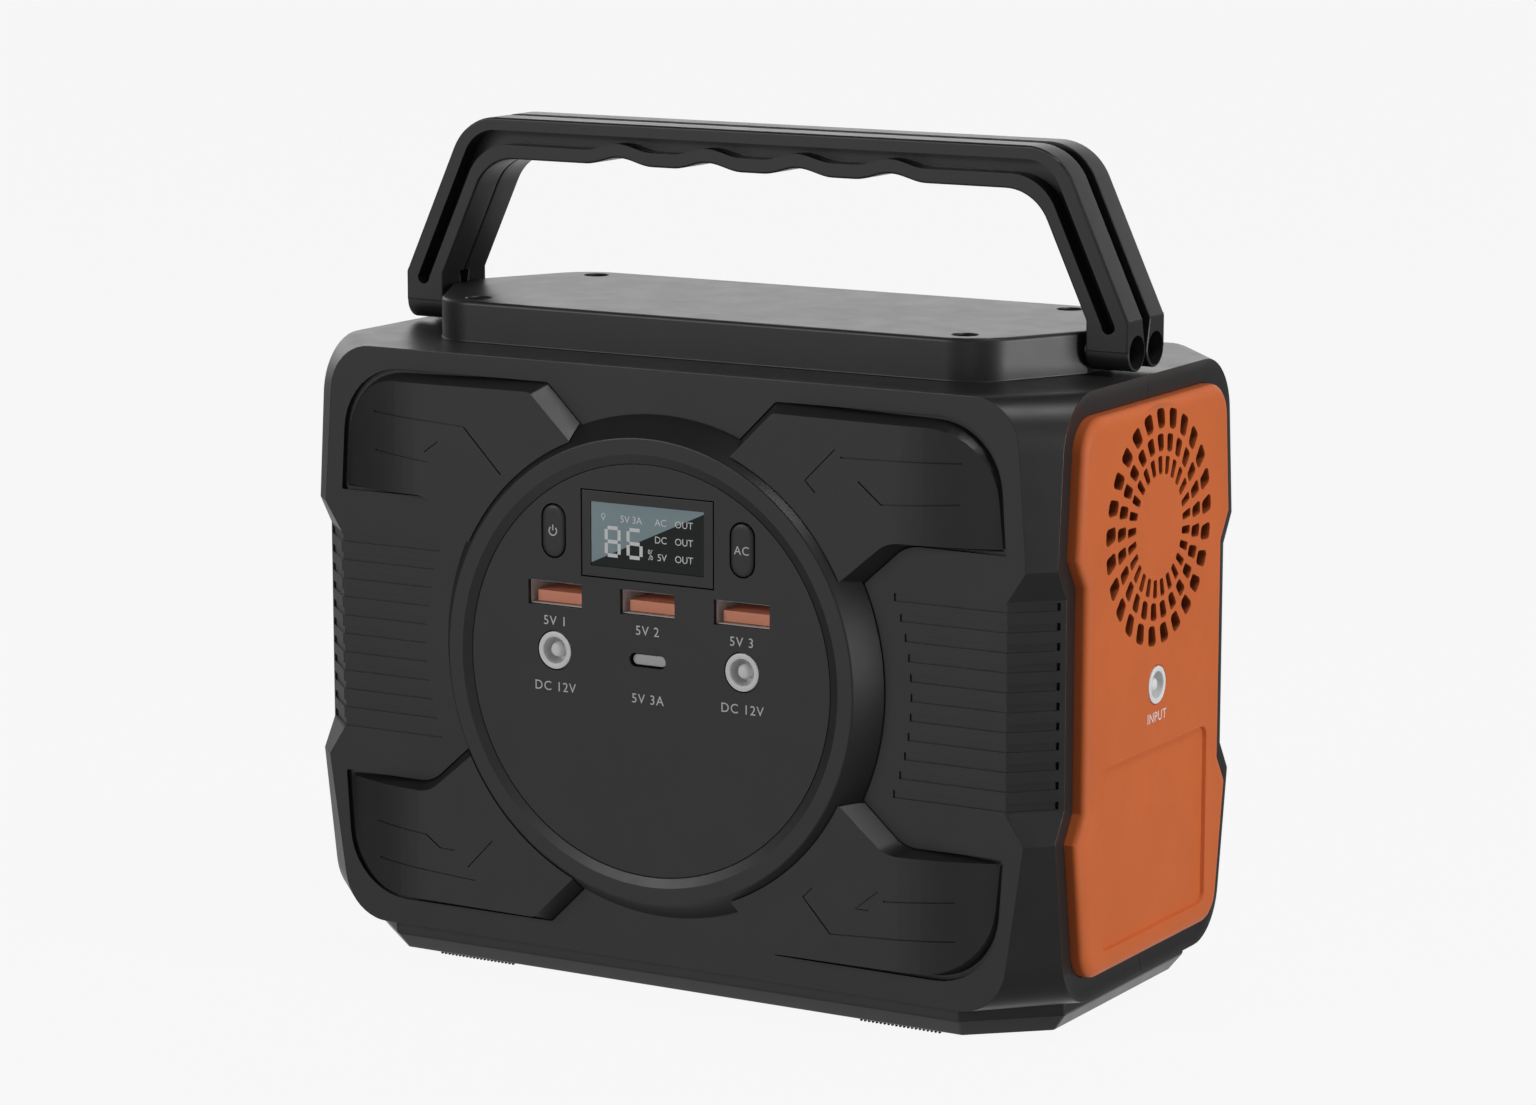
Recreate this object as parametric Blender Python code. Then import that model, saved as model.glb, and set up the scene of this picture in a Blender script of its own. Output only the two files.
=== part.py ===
"""A portable power station: two casing halves, a round control face, orange side panels, a folding handle.

Lengths are in millimetres and are turned into metres where a mesh is made. +X is to the right along the
front, the front faces -Y, and +Z is up. The origin is under the middle of the object, on the ground.
"""

import math

import bmesh
import bpy
from mathutils import Matrix, Vector

MM = 0.001
GAP = 0.3  # clearance between pieces that touch
FLAT_WITHIN = 1e-7  # a face whose corners lie this near its plane, in metres, counts as flat
ROD_TURN = 0.11  # turns the facets of round pieces, so that none lies in a flat wall's plane
DISC_STEPS = 48  # sides of the disc's round pieces

# Casing
HALF_DEPTH = 46.4  # front frame plane
HALF_WIDTH = 91.4  # side seat plane
PLINTH_BOTTOM = 1.4
BODY_BOTTOM = 8.2
BODY_TOP = 136.9
WALL = 2.6
DISC_Z = 73.2  # height of the disc, and of the waist's middle
WAIST_INNER = 22.1  # half height of the waist's flat part
WAIST_OUTER = 28.4  # half height of the waist with its slopes
SEAT_RISE = 4.4  # width of the dark edge round a side panel

# (value at the waist, value above and below it, lean and end radius upwards, and downwards)
FRONT_EDGE = (82.43, 86.57, 0.075, 10.5, 0.145, 11.0)
SIDE_EDGE = (37.61, 41.62, 0.08, 13.0, 0.15, 12.0)

# Disc and its panel
RIM_Y = 52.64
PANEL_Y = 51.9
RIM_R = 50.0
CONE_R = 54.6
STEP_OUTER_R = 46.4
STEP_INNER_R = 44.7
PANEL_BACK = 49.7
BOARD_FRONT = 37.2

# Corner pads
PAD_Y = 51.0
PAD_BEND_X = 57.6
PAD_BEND = 0.0072  # fall of the pad's face past the bend, per square millimetre

# Slats
SLAT_COUNT = 11
SLAT_PITCH = 4.14
SLAT_HEIGHT = 1.7
SLAT_DEPTH = 0.7

# Controls, as seen on the panel: (x, z)
USB_A_X = (-23.1, 0.0, 23.1)
USB_Z = 87.8
USB_A_SIZE = (13.0, 5.1)
LOW_ROW_Z = 75.6
USB_C_SIZE = (8.5, 2.5)
DC_X = 23.2
DC_R = 4.1
BUTTON_X = 23.3
BUTTON_Z = 101.5
BUTTON_SIZE = (6.2, 11.9)
BUTTON_TRAVEL = 0.8
DISPLAY_Z = 101.8
DISPLAY_SIZE = (32.9, 18.9)
WINDOW_SIZE = (28.0, 13.8)

# Side panels
PANEL_X = 94.0
GRILLE_Z = 104.8
GRILLE_RINGS = ((23.0, 3.5, 3.5), (17.9, 2.7, 3.4), (13.1, 1.9, 3.4))  # radius, width, length
GRILLE_SLOTS = 25
INLET_Z = 71.1
OUTLET_Z = 98.0
OUTLET_SIZE = (40.0, 31.0)

# Top plate and handle
PLATE_TOP = 145.9
PLATE_FRONT = 30.5
PLATE_SIDE = 79.8
PLATE_CORNER = (66.8, 6.0)  # x where the front edge ends, y where the side edge ends
PLATE_SCREW = (60.4, 24.0)
PIVOT_Y = 4.4
PIVOT_Z = 141.9
PIVOT_R = 2.5
BOSS_R = 4.1
LEG_INNER = 80.45
LEG_OUTER = 90.34
LEG_BEND_Z = 148.4
HANDLE_TOP = 184.1
GRIP_UNDER = 174.95
HANDLE_FACE = 8.7
LEG_BACK = 1.8
GRIP_BACK = 0.2
SCALLOP_X = (-33.9, -11.3, 11.3, 33.9)
SCALLOP_HALF = 8.6
SCALLOP_RISE = 1.6

# Inside
FAN_X = (73.0, 88.0)
FAN_HALF = 25.0
FAN_BORE = 23.8
CASE_SCREW = (66.0, 50.0)  # x, and z from the disc
FEET = (53.5, 28.0)
FOOT_HALF = 10.0


def clear_scene():
    for obj in list(bpy.data.objects):
        bpy.data.objects.remove(obj, do_unlink=True)


def finish(name, colour, roughness, metallic=0.0):
    made = bpy.data.materials.new(name)
    made.use_nodes = True
    shader = made.node_tree.nodes["Principled BSDF"]
    shader.inputs["Base Color"].default_value = (*colour, 1.0)
    shader.inputs["Roughness"].default_value = roughness
    shader.inputs["Metallic"].default_value = metallic
    made.diffuse_color = (*colour, 1.0)
    return made


def off_plane(face):
    """How far the face's corners lie from its plane, in metres."""
    middle = face.calc_center_median()
    return max(abs((corner.co - middle).dot(face.normal)) for corner in face.verts)


def mesh_object(name, made, material=None):
    """An object from a closed mesh. Twisted faces become triangles, so that Booleans see true planes."""
    bmesh.ops.recalc_face_normals(made, faces=made.faces)
    twisted = [face for face in made.faces if off_plane(face) > FLAT_WITHIN]
    bmesh.ops.triangulate(made, faces=twisted)
    mesh = bpy.data.meshes.new(name)
    made.to_mesh(mesh)
    made.free()
    obj = bpy.data.objects.new(name, mesh)
    bpy.context.scene.collection.objects.link(obj)
    if material is None:
        obj.hide_render = True
        obj.display_type = "WIRE"
    else:
        obj.data.materials.append(material)
    return obj


def add_rings(made, rings):
    """Closed skin over rings of equal length, capped at both ends."""
    rows = [[made.verts.new(Vector(point) * MM) for point in ring] for ring in rings]
    for low, high in zip(rows, rows[1:]):
        for i in range(len(low)):
            j = (i + 1) % len(low)
            made.faces.new((low[i], low[j], high[j], high[i]))
    made.faces.new(rows[0])
    made.faces.new(rows[-1])


def loft(name, rings, material=None):
    made = bmesh.new()
    add_rings(made, rings)
    return mesh_object(name, made, material)


def placed(outline, axis, along):
    """A flat outline as points in space: (y, z) for axis X, (x, z) for axis Y, (x, y) for axis Z."""
    if axis == "X":
        return [(along, a, b) for a, b in outline]
    if axis == "Y":
        return [(a, along, b) for a, b in outline]
    return [(a, b, along) for a, b in outline]


def prism(name, outline, axis, low, high, material=None):
    return loft(name, [placed(outline, axis, low), placed(outline, axis, high)], material)


def prisms(name, outlines, axis, low, high):
    """One cutter made of several separate prisms."""
    made = bmesh.new()
    for outline in outlines:
        add_rings(made, [placed(outline, axis, low), placed(outline, axis, high)])
    return mesh_object(name, made)


def circle(radius, centre=(0.0, 0.0), steps=24, start=0.0):
    return [
        (
            centre[0] + radius * math.cos(start + 2 * math.pi * i / steps),
            centre[1] + radius * math.sin(start + 2 * math.pi * i / steps),
        )
        for i in range(steps)
    ]


def rectangle(width, height, centre=(0.0, 0.0)):
    x, y = width / 2, height / 2
    return [(centre[0] + a * x, centre[1] + b * y) for a, b in ((-1, -1), (1, -1), (1, 1), (-1, 1))]


def rounded(corners, radii, steps=5):
    """The polygon with each corner turned into an arc of its radius."""
    points = []
    count = len(corners)
    for i, corner in enumerate(corners):
        here = Vector(corner)
        before = Vector(corners[i - 1]) - here
        after = Vector(corners[(i + 1) % count]) - here
        radius = radii[i] if isinstance(radii, (list, tuple)) else radii
        if radius <= 0:
            points.append(tuple(here))
            continue
        half = before.angle(after) / 2
        reach = radius / math.tan(half)
        start = here + before.normalized() * reach
        end = here + after.normalized() * reach
        centre = here + (before.normalized() + after.normalized()).normalized() * (radius / math.sin(half))
        first, last = start - centre, end - centre
        turn = math.atan2(first.x * last.y - first.y * last.x, first.dot(last))
        for k in range(steps + 1):
            angle = turn * k / steps
            cos, sin = math.cos(angle), math.sin(angle)
            swung = Vector((first.x * cos - first.y * sin, first.x * sin + first.y * cos))
            points.append(tuple(centre + swung))
    return points


def stadium(width, height, centre=(0.0, 0.0), steps=6):
    radius = min(width, height) / 2 - 0.001
    return rounded(rectangle(width, height, centre), radius, steps)


def inset(points, distance):
    """The closed outline moved inwards; the outline runs anticlockwise."""
    moved = []
    count = len(points)
    for i, point in enumerate(points):
        here = Vector(point)
        before = (here - Vector(points[i - 1])).normalized()
        after = (Vector(points[(i + 1) % count]) - here).normalized()
        normal = Vector((-before.y - after.y, before.x + after.x)).normalized()
        share = max(normal.dot(Vector((-before.y, before.x))), 0.5)
        moved.append(tuple(here + normal * (distance / share)))
    return moved


def turned(name, profile, axis, centre, steps=48, material=None):
    """A closed profile of (radius, along) points turned about an axis. Its points stay off the axis."""
    made = bmesh.new()
    rows = []
    for i in range(steps):
        angle = 2 * math.pi * i / steps
        cos, sin = math.cos(angle), math.sin(angle)
        row = []
        for radius, along in profile:
            a, b = radius * cos, radius * sin
            place = {"X": (along, a, b), "Y": (a, along, b), "Z": (a, b, along)}[axis]
            row.append(made.verts.new((Vector(place) + Vector(centre)) * MM))
        rows.append(row)
    count = len(profile)
    for i in range(steps):
        this, following = rows[i], rows[(i + 1) % steps]
        for k in range(count):
            m = (k + 1) % count
            made.faces.new((this[k], this[m], following[m], following[k]))
    return mesh_object(name, made, material)


def rod(name, stages, axis, centre, steps=20, material=None):
    """A solid turned piece, from (radius, along) stages in order along the axis."""
    rings = [
        [
            tuple(Vector(point) + Vector(centre))
            for point in placed(circle(radius, (0.0, 0.0), steps, ROD_TURN), axis, along)
        ]
        for radius, along in stages
    ]
    return loft(name, rings, material)


def boolean(target, other, operation):
    modifier = target.modifiers.new(other.name, "BOOLEAN")
    modifier.operation = operation
    modifier.solver = "EXACT"
    modifier.object = other


def cut(target, *others):
    for other in others:
        boolean(target, other, "DIFFERENCE")


def join(target, *others):
    for other in others:
        boolean(target, other, "UNION")


def edge_at(z, edge):
    """Where the casing's edge runs at height z: the waist, its slopes, a leaning flank and an end arc."""
    waist, flank, lean_up, radius_up, lean_down, radius_down = edge
    away = abs(z - DISC_Z)
    if away <= WAIST_INNER:
        return waist
    if away <= WAIST_OUTER:
        return waist + (flank - waist) * (away - WAIST_INNER) / (WAIST_OUTER - WAIST_INNER)
    upwards = z > DISC_Z
    lean = lean_up if upwards else lean_down
    radius = radius_up if upwards else radius_down
    end = BODY_TOP if upwards else BODY_BOTTOM
    to_end = abs(end - z)
    at_end = flank - lean * (abs(end - DISC_Z) - WAIST_OUTER)
    slope = math.hypot(1, lean)
    centre = at_end + lean * radius - radius * slope
    if to_end < radius - radius * lean / slope:
        return centre + math.sqrt(max(radius * radius - (radius - to_end) ** 2, 0.0))
    return at_end + lean * to_end


def casing_levels():
    """Heights where the casing's outline bends, with the arcs in six steps."""
    arc = [13.0 * (1 - math.cos(math.pi / 2 * k / 6)) for k in range(7)]
    low = [BODY_BOTTOM + rise for rise in arc]
    waist = [DISC_Z + away for away in (-WAIST_OUTER, -WAIST_INNER, WAIST_INNER, WAIST_OUTER)]
    high = [BODY_TOP - rise for rise in reversed(arc)]
    return low + waist + high


def side_outline():
    levels = casing_levels()
    front = [(-edge_at(z, SIDE_EDGE), z) for z in levels]
    return front[::-1] + [(-y, z) for y, z in front]


def casing_rings(thinner, side, past_middle):
    """Level rings of one casing half. `thinner` moves every wall inwards."""
    rings = []
    low, high = BODY_BOTTOM + thinner, BODY_TOP - thinner
    for z in casing_levels():
        front = edge_at(z, FRONT_EDGE) - thinner
        flank = edge_at(z, SIDE_EDGE) - thinner
        height = low + (z - BODY_BOTTOM) * (high - low) / (BODY_TOP - BODY_BOTTOM)
        wide, deep = HALF_WIDTH - thinner, HALF_DEPTH - thinner
        half_ring = [(front, deep), (wide, flank), (wide, past_middle)]
        ring = [(-x, y) for x, y in reversed(half_ring)] + half_ring
        rings.append([(x, side * y, height) for x, y in ring])
    return rings


def pad_outline(grow):
    """A corner pad's outline in the upper right quarter; `grow` widens it towards its foot."""
    reach = 0.9 * grow
    corners = [
        (14.2 - 1.3 * grow, 115.0 + 1.3 * grow),
        (30.3 - 1.6 * grow, 131.1 + reach),
        (79.9 + 0.4 * grow, 131.1 + reach),
        (82.0 + 0.4 * grow, 105.9 - reach),
        (59.0 + 0.2 * grow, 106.1 - reach),
        (38.0 + 1.5 * grow, 88.6 - 0.6 * grow),
    ]
    return rounded(corners, [0, 1.2, 9.0, 1.0, 5.0, 0], 5)


def corner_pad(name, side, right, up):
    foot = [(right * x, side * (HALF_DEPTH - 1.2), DISC_Z + up * (z - DISC_Z)) for x, z in pad_outline(1.5)]
    face = [(right * x, side * PAD_Y, DISC_Z + up * (z - DISC_Z)) for x, z in pad_outline(0.0)]
    pad = loft(name, [foot, face])
    bend = [
        (right * 95.0, side * 60.0),
        (right * PAD_BEND_X, side * 60.0),
        (right * PAD_BEND_X, side * PAD_Y),
    ]
    for k in range(1, 6):
        x = PAD_BEND_X + (83.2 - PAD_BEND_X) * k / 5
        bend.append((right * x, side * (PAD_Y - PAD_BEND * (x - PAD_BEND_X) ** 2)))
    bend.append((right * 95.0, bend[-1][1]))
    cut(pad, prism(name + "_bend", bend, "Z", 0.0, 150.0))
    return pad


def slat_outline(z, side, right):
    """One slat groove seen from above: along the frame's face, round the corner band, and out."""
    away = z - DISC_Z
    inner = 60.2 - 0.0093 * away * away
    waist, flank = FRONT_EDGE[0], SIDE_EDGE[0]
    along = Vector((HALF_WIDTH - waist, flank - HALF_DEPTH)).normalized()
    into = Vector((along.y, -along.x))
    end = Vector((waist, HALF_DEPTH)) + along * 11.2
    bottom = end + into * SLAT_DEPTH
    outside = end - into * 2.0
    turn = waist - SLAT_DEPTH * 0.42
    face = HALF_DEPTH - SLAT_DEPTH
    points = [(inner, 48.9), (inner, face), (turn, face), tuple(bottom), tuple(outside)]
    points.append((waist + 1.0, 48.9))
    return [(right * x, side * y) for x, y in points]


def slat_cutter(name, side):
    made = bmesh.new()
    for i in range(SLAT_COUNT):
        z = DISC_Z + SLAT_PITCH * (i - (SLAT_COUNT - 1) / 2)
        for right in (-1, 1):
            outline = slat_outline(z, side, right)
            low, high = z - SLAT_HEIGHT / 2, z + SLAT_HEIGHT / 2
            add_rings(made, [placed(outline, "Z", low), placed(outline, "Z", high)])
    return mesh_object(name, made)


def bezel_profile(side):
    return [
        (STEP_OUTER_R, side * RIM_Y),
        (RIM_R, side * RIM_Y),
        (CONE_R - 0.2, side * (HALF_DEPTH + GAP)),
        (51.5, side * (HALF_DEPTH + GAP)),
        (51.5, side * 42.6),
        (42.6, side * 42.6),
        (42.6, side * (PANEL_BACK - GAP)),
        (STEP_INNER_R, side * (PANEL_BACK - GAP)),
        (STEP_INNER_R, side * PANEL_Y),
    ]


def casing_half(name, side, material):
    """One casing shell with its pads, slats, disc opening, screw posts and side openings."""
    shell = loft(name, casing_rings(0.0, side, 0.15), material)
    for right in (-1, 1):
        for up in (-1, 1):
            join(shell, corner_pad(f"{name}_pad_{right}_{up}", side, right, up))
    cut(shell, loft(name + "_hollow", casing_rings(WALL, side, -5.0)))
    disc = (0.0, 0.0, DISC_Z)
    ledge = side * (HALF_DEPTH + 0.05)
    opening = [(51.8, side * 30.0), (51.8, ledge), (CONE_R + 0.1, ledge)]
    opening += [(RIM_R + GAP, side * RIM_Y), (RIM_R + GAP, side * 60.0)]
    cut(shell, rod(name + "_opening", opening, "Y", disc, DISC_STEPS))
    cut(shell, slat_cutter(name + "_slats", side))
    for right in (-1, 1):
        for up in (-1, 1):
            place = (right * CASE_SCREW[0], 0.0, DISC_Z + up * CASE_SCREW[1])
            tag = f"{name}_{right}_{up}"
            join(shell, rod(tag + "_post", [(4.0, side * 0.15), (4.0, side * 45.0)], "Y", place, 12))
            pilot = [(1.9, side * -1.0), (1.9, side * (20.0 if side < 0 else 60.0))]
            cut(shell, rod(tag + "_pilot", pilot, "Y", place, 10))
            if side > 0:
                cut(shell, rod(tag + "_head", [(3.2, 46.0), (3.2, 60.0)], "Y", place, 12))
        top = (right * PLATE_SCREW[0], side * PLATE_SCREW[1], 0.0)
        tag = f"{name}_{right}"
        join(shell, rod(tag + "_top_post", [(3.6, 128.6), (3.6, 135.0)], "Z", top, 10))
        cut(shell, rod(tag + "_top_pilot", [(1.7, 120.0), (1.7, 140.0)], "Z", top, 10))
    inlet = (0.0, 0.0, INLET_Z)
    grille = (0.0, 0.0, GRILLE_Z)
    cut(shell, rod(name + "_air", [(26.0, 80.0), (26.0, 96.0)], "X", grille, 24))
    cut(shell, rod(name + "_inlet", [(5.2, 80.0), (5.2, 96.0)], "X", inlet, 12))
    width, height = OUTLET_SIZE
    outlet = rounded(rectangle(width - 2.0, height - 2.0, (0.0, OUTLET_Z)), 3.0, 3)
    cut(shell, prism(name + "_outlet", outlet, "X", -96.0, -80.0))
    return shell


def plinth_outline(spread):
    front, corner_x, corner_y, wide = 40.9 + spread, 69.6 + 0.4 * spread, 27.5 + 0.4 * spread, 84.6 + spread
    quarter = [(corner_x, front), (wide, corner_y)]
    right = [(x, -y) for x, y in quarter] + [(x, y) for x, y in reversed(quarter)]
    return right + [(-x, -y) for x, y in right]


def base_plinth(material):
    rings = [
        placed(plinth_outline(0.0), "Z", PLINTH_BOTTOM),
        placed(plinth_outline(3.0), "Z", PLINTH_BOTTOM + 3.0),
        placed(plinth_outline(3.0), "Z", BODY_BOTTOM - GAP),
    ]
    plinth = loft("base_plinth", rings, material)
    cut(plinth, prism("plinth_hollow", plinth_outline(-3.0), "Z", PLINTH_BOTTOM + 2.4, 20.0))
    return plinth


def foot(name, x, y, material):
    outline = rounded(rectangle(2 * FOOT_HALF, 2 * FOOT_HALF, (x, y)), 3.0, 3)
    return prism(name, outline, "Z", 0.0, PLINTH_BOTTOM - GAP, material)


def plate_outline(inner=0.0):
    x_front, y_side = PLATE_CORNER
    quarter = [(x_front, PLATE_FRONT), (PLATE_SIDE, y_side)]
    right = [(x, -y) for x, y in quarter] + [(x, y) for x, y in reversed(quarter)]
    corners = right + [(-x, -y) for x, y in right]
    radii = [6.0, 1.5, 1.5, 6.0] * 2
    return inset(rounded(corners, radii, 4), inner)


def top_plate(material):
    bottom = BODY_TOP + GAP
    rings = [
        placed(plate_outline(0.0), "Z", bottom),
        placed(plate_outline(0.0), "Z", PLATE_TOP - 0.7),
        placed(plate_outline(0.7), "Z", PLATE_TOP),
    ]
    plate = loft("top_plate", rings, material)
    cut(plate, prism("plate_hollow", rectangle(104.0, 52.0), "Z", 130.0, PLATE_TOP - 2.6))
    for x in (-1, 1):
        for y in (-1, 1):
            place = (x * PLATE_SCREW[0], y * PLATE_SCREW[1], 0.0)
            stages = [(1.7, 130.0), (1.7, 141.0), (2.8, 141.0), (2.8, 150.0)]
            cut(plate, rod(f"plate_hole_{x}_{y}", stages, "Z", place, 12))
            pivot = (0.0, y * PIVOT_Y, PIVOT_Z)
            bore = [(PIVOT_R, x * 70.0), (PIVOT_R, x * 95.0)]
            cut(plate, rod(f"plate_pivot_{x}_{y}", bore, "X", pivot, 20))
    return plate


def plate_screw(name, x, y, material):
    stages = [(1.3, 130.0), (1.3, 141.4), (2.45, 141.4), (2.45, 143.4)]
    screw = rod(name, stages, "Z", (x, y, 0.0), 12, material)
    cut(screw, prism(name + "_slot", circle(1.2, (x, y), 6), "Z", 142.2, 146.0))
    return screw


def case_screw(name, x, z, material):
    stages = [(1.5, -16.0), (1.5, 46.3), (2.8, 46.3), (2.8, 48.3)]
    screw = rod(name, stages, "Y", (x, 0.0, z), 12, material)
    cut(screw, prism(name + "_slot", circle(1.3, (x, z), 6), "Y", 47.0, 50.0))
    return screw


def grip_under(lift):
    """The grip's underside from left to right, with its four finger scallops."""
    points = []
    for centre in SCALLOP_X:
        for k in range(9):
            share = -1 + k / 4
            rise = SCALLOP_RISE * (0.5 + 0.5 * math.cos(math.pi * share))
            points.append((centre + SCALLOP_HALF * share, GRIP_UNDER + lift + rise))
    return points


def handle_line(outer, offset, top, radius, foot_z):
    """Right-hand side of a handle outline, from its foot up to the grip."""
    lean = 0.46
    x = (LEG_OUTER if outer else LEG_INNER) + offset
    bend = LEG_BEND_Z
    at_top = x - (top - bend) * lean
    foot = [(x, foot_z)] if foot_z < bend else []
    points = rounded(foot + [(x, bend), (at_top, top), (0.0, top)], [0] * len(foot) + [0, radius, 0], 6)
    return points[:-1]


def handle_outline(foot_z):
    outer = handle_line(True, 0.0, HANDLE_TOP, 12.4, foot_z)
    inner = handle_line(False, 0.0, GRIP_UNDER, 10.8, foot_z)
    left_in = [(-x, z) for x, z in inner]
    left_out = [(-x, z) for x, z in reversed(outer)]
    return outer + left_out + left_in + grip_under(0.0) + inner[::-1]


def web_outline():
    """The strip behind the handle's legs and grip that reaches the seam between the two halves."""
    inner = handle_line(False, 0.0, GRIP_UNDER, 10.8, LEG_BEND_Z)
    strip = handle_line(False, 3.0, GRIP_UNDER + 3.0, 12.5, LEG_BEND_Z)
    outer = [(x, z) for x, z in strip if z < 168.0] + [(70.8, 171.0), (68.0, 183.3)]
    left_in = [(-x, z) for x, z in inner]
    left_out = [(-x, z) for x, z in reversed(outer)]
    return outer + left_out + left_in + grip_under(0.0) + inner[::-1]


def pocket_outline():
    """The long groove in the handle's face: down one leg, along the grip and down the other leg."""
    lean = 0.46
    foot_z = LEG_BEND_Z - 1.0
    outer = rounded(
        [(87.3, foot_z), (87.3 - (181.3 - foot_z) * lean, 181.3), (0.0, 181.3)], [0, 8.5, 0], 4
    )[:-1]
    inner = rounded(
        [(84.1, foot_z), (84.1 - (178.1 - foot_z) * lean, 178.1), (0.0, 178.1)], [0, 11.5, 0], 4
    )[:-1]
    end = [(86.9, foot_z - 1.1), (85.9, foot_z - 1.6), (84.8, foot_z - 1.2)]
    left = [(-x, z) for x, z in inner]
    right = end + inner
    outer_left = [(-x, z) for x, z in reversed(outer)]
    end_left = [(-x, z) for x, z in end]
    return outer + outer_left + end_left + left + grip_under(3.1) + right[::-1]


def handle_half(name, side, material):
    """One half of the handle. Its origin is on its hinge axis."""
    half = prism(name, handle_outline(PIVOT_Z), "Y", side * HANDLE_FACE, side * LEG_BACK, material)
    join(half, prism(name + "_web", web_outline(), "Y", side * (LEG_BACK + 1.5), side * GRIP_BACK))
    for right in (-1, 1):
        boss = [(side * (HANDLE_FACE - 0.1), LEG_BEND_Z), (side * (PIVOT_Y + BOSS_R), PIVOT_Z)]
        boss += [
            (side * (PIVOT_Y + BOSS_R * math.cos(a)), PIVOT_Z - BOSS_R * math.sin(a))
            for a in [math.pi * k / 10 for k in range(1, 10)]
        ]
        boss += [(side * (PIVOT_Y - BOSS_R), PIVOT_Z), (side * (LEG_BACK + 0.1), LEG_BEND_Z)]
        low, high = sorted((right * LEG_INNER, right * LEG_OUTER))
        join(half, prism(f"{name}_boss_{right}", boss, "X", low, high))
        pivot = (0.0, side * PIVOT_Y, PIVOT_Z)
        bore = [(r, right * x) for r, x in ((PIVOT_R, 70.0), (PIVOT_R, 84.6), (3.55, 84.6), (3.55, 95.0))]
        cut(half, rod(f"{name}_bore_{right}", bore, "X", pivot, 20))
    cut(half, prism(name + "_pocket", pocket_outline(), "Y", side * (HANDLE_FACE + 3.0), side * 4.2))
    hinge = Vector((0.0, side * PIVOT_Y * MM, PIVOT_Z * MM))
    for obj in [half] + [m.object for m in half.modifiers]:
        obj.data.transform(Matrix.Translation(-hinge))
        obj.location = hinge
    return half


def pivot_pin(name, right, side, material):
    place = (0.0, side * PIVOT_Y, PIVOT_Z)
    stages = [(2.4, right * 71.0), (2.4, right * 85.0), (3.2, right * 85.0), (3.2, right * 87.0)]
    return rod(name, stages, "X", place, 12, material)


def side_panel(name, right, material):
    """An orange side panel: a cushion-edged plate that follows the casing's side outline."""
    outline = side_outline()
    foot = HALF_WIDTH + GAP
    stages = ((foot, SEAT_RISE), (92.5, SEAT_RISE), (93.5, SEAT_RISE + 1.1), (PANEL_X, SEAT_RISE + 3.0))
    rings = [placed(inset(outline, rise), "X", right * x) for x, rise in stages]
    panel = loft(name, rings, material)
    if right > 0:
        slots = []
        for radius, width, length in GRILLE_RINGS:
            for i in range(GRILLE_SLOTS):
                angle = 2 * math.pi * i / GRILLE_SLOTS + math.pi / 2
                slots.append(grille_slot(radius, width, length, angle))
        cut(panel, prisms(name + "_slots", slots, "X", 88.0, 97.0))
        hole = [(DC_R + GAP, 88.0), (DC_R + GAP, 97.0)]
        cut(panel, rod(name + "_inlet", hole, "X", (0.0, 0.0, INLET_Z), 24))
        recess = rounded(rectangle(50.4, 39.4, (0.0, 38.1)), 2.5, 4)
        cut(panel, prism(name + "_recess", recess, "X", PANEL_X - 0.6, 97.0))
    else:
        width, height = OUTLET_SIZE
        hole = rounded(rectangle(width, height, (0.0, OUTLET_Z)), 4.0, 4)
        cut(panel, prism(name + "_outlet_hole", hole, "X", -97.0, -88.0))
        vents = [stadium(34.0, 2.6, (0.0, 36.0 + 5.4 * i), 3) for i in range(7)]
        cut(panel, prisms(name + "_vents", vents, "X", -97.0, -88.0))
    return panel


def grille_slot(radius, width, length, angle):
    """A six-sided radial slot, as (y, z) points."""
    out = Vector((math.cos(angle), math.sin(angle)))
    across = Vector((-out.y, out.x))
    w, h = width / 2, length / 2
    shape = ((-0.6, -1), (0.6, -1), (1, 0), (0.6, 1), (-0.6, 1), (-1, 0))
    middle = Vector((0.0, GRILLE_Z)) + out * radius
    return [tuple(middle + across * (a * w) + out * (b * h)) for a, b in shape]


def control_panel(material):
    disc = circle(STEP_INNER_R - GAP, (0.0, DISC_Z), DISC_STEPS)
    panel = prism("control_panel", disc, "Y", -PANEL_Y, -PANEL_BACK, material)
    openings = [rectangle(USB_A_SIZE[0], USB_A_SIZE[1], (x, USB_Z)) for x in USB_A_X]
    openings += [stadium(BUTTON_SIZE[0], BUTTON_SIZE[1], (x, BUTTON_Z), 5) for x in (-BUTTON_X, BUTTON_X)]
    openings += [circle(DC_R + GAP, (x, LOW_ROW_Z), 20) for x in (-DC_X, DC_X)]
    openings.append(rectangle(DISPLAY_SIZE[0], DISPLAY_SIZE[1], (0.0, DISPLAY_Z)))
    openings.append(stadium(USB_C_SIZE[0] + 0.6, USB_C_SIZE[1] + 0.6, (0.0, LOW_ROW_Z)))
    cut(panel, prisms("panel_openings", openings, "Y", -56.0, -46.0))

def display(frame_material, glass_material, module_material):
    centre = (0.0, DISPLAY_Z)
    outer = rectangle(DISPLAY_SIZE[0] - 2 * GAP, DISPLAY_SIZE[1] - 2 * GAP, centre)
    frame = prism("display_frame", outer, "Y", -PANEL_Y, -49.2, frame_material)
    hole = rectangle(WINDOW_SIZE[0], WINDOW_SIZE[1], centre)
    cut(frame, prism("display_hole", hole, "Y", -56.0, -46.0))
    glass = rectangle(WINDOW_SIZE[0] - 2 * GAP, WINDOW_SIZE[1] - 2 * GAP, centre)
    prism("display_window", glass, "Y", -51.7, -50.7, glass_material)
    prism("display_module", rectangle(30.0, 16.4, centre), "Y", -48.9, -46.4, module_material)


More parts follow.
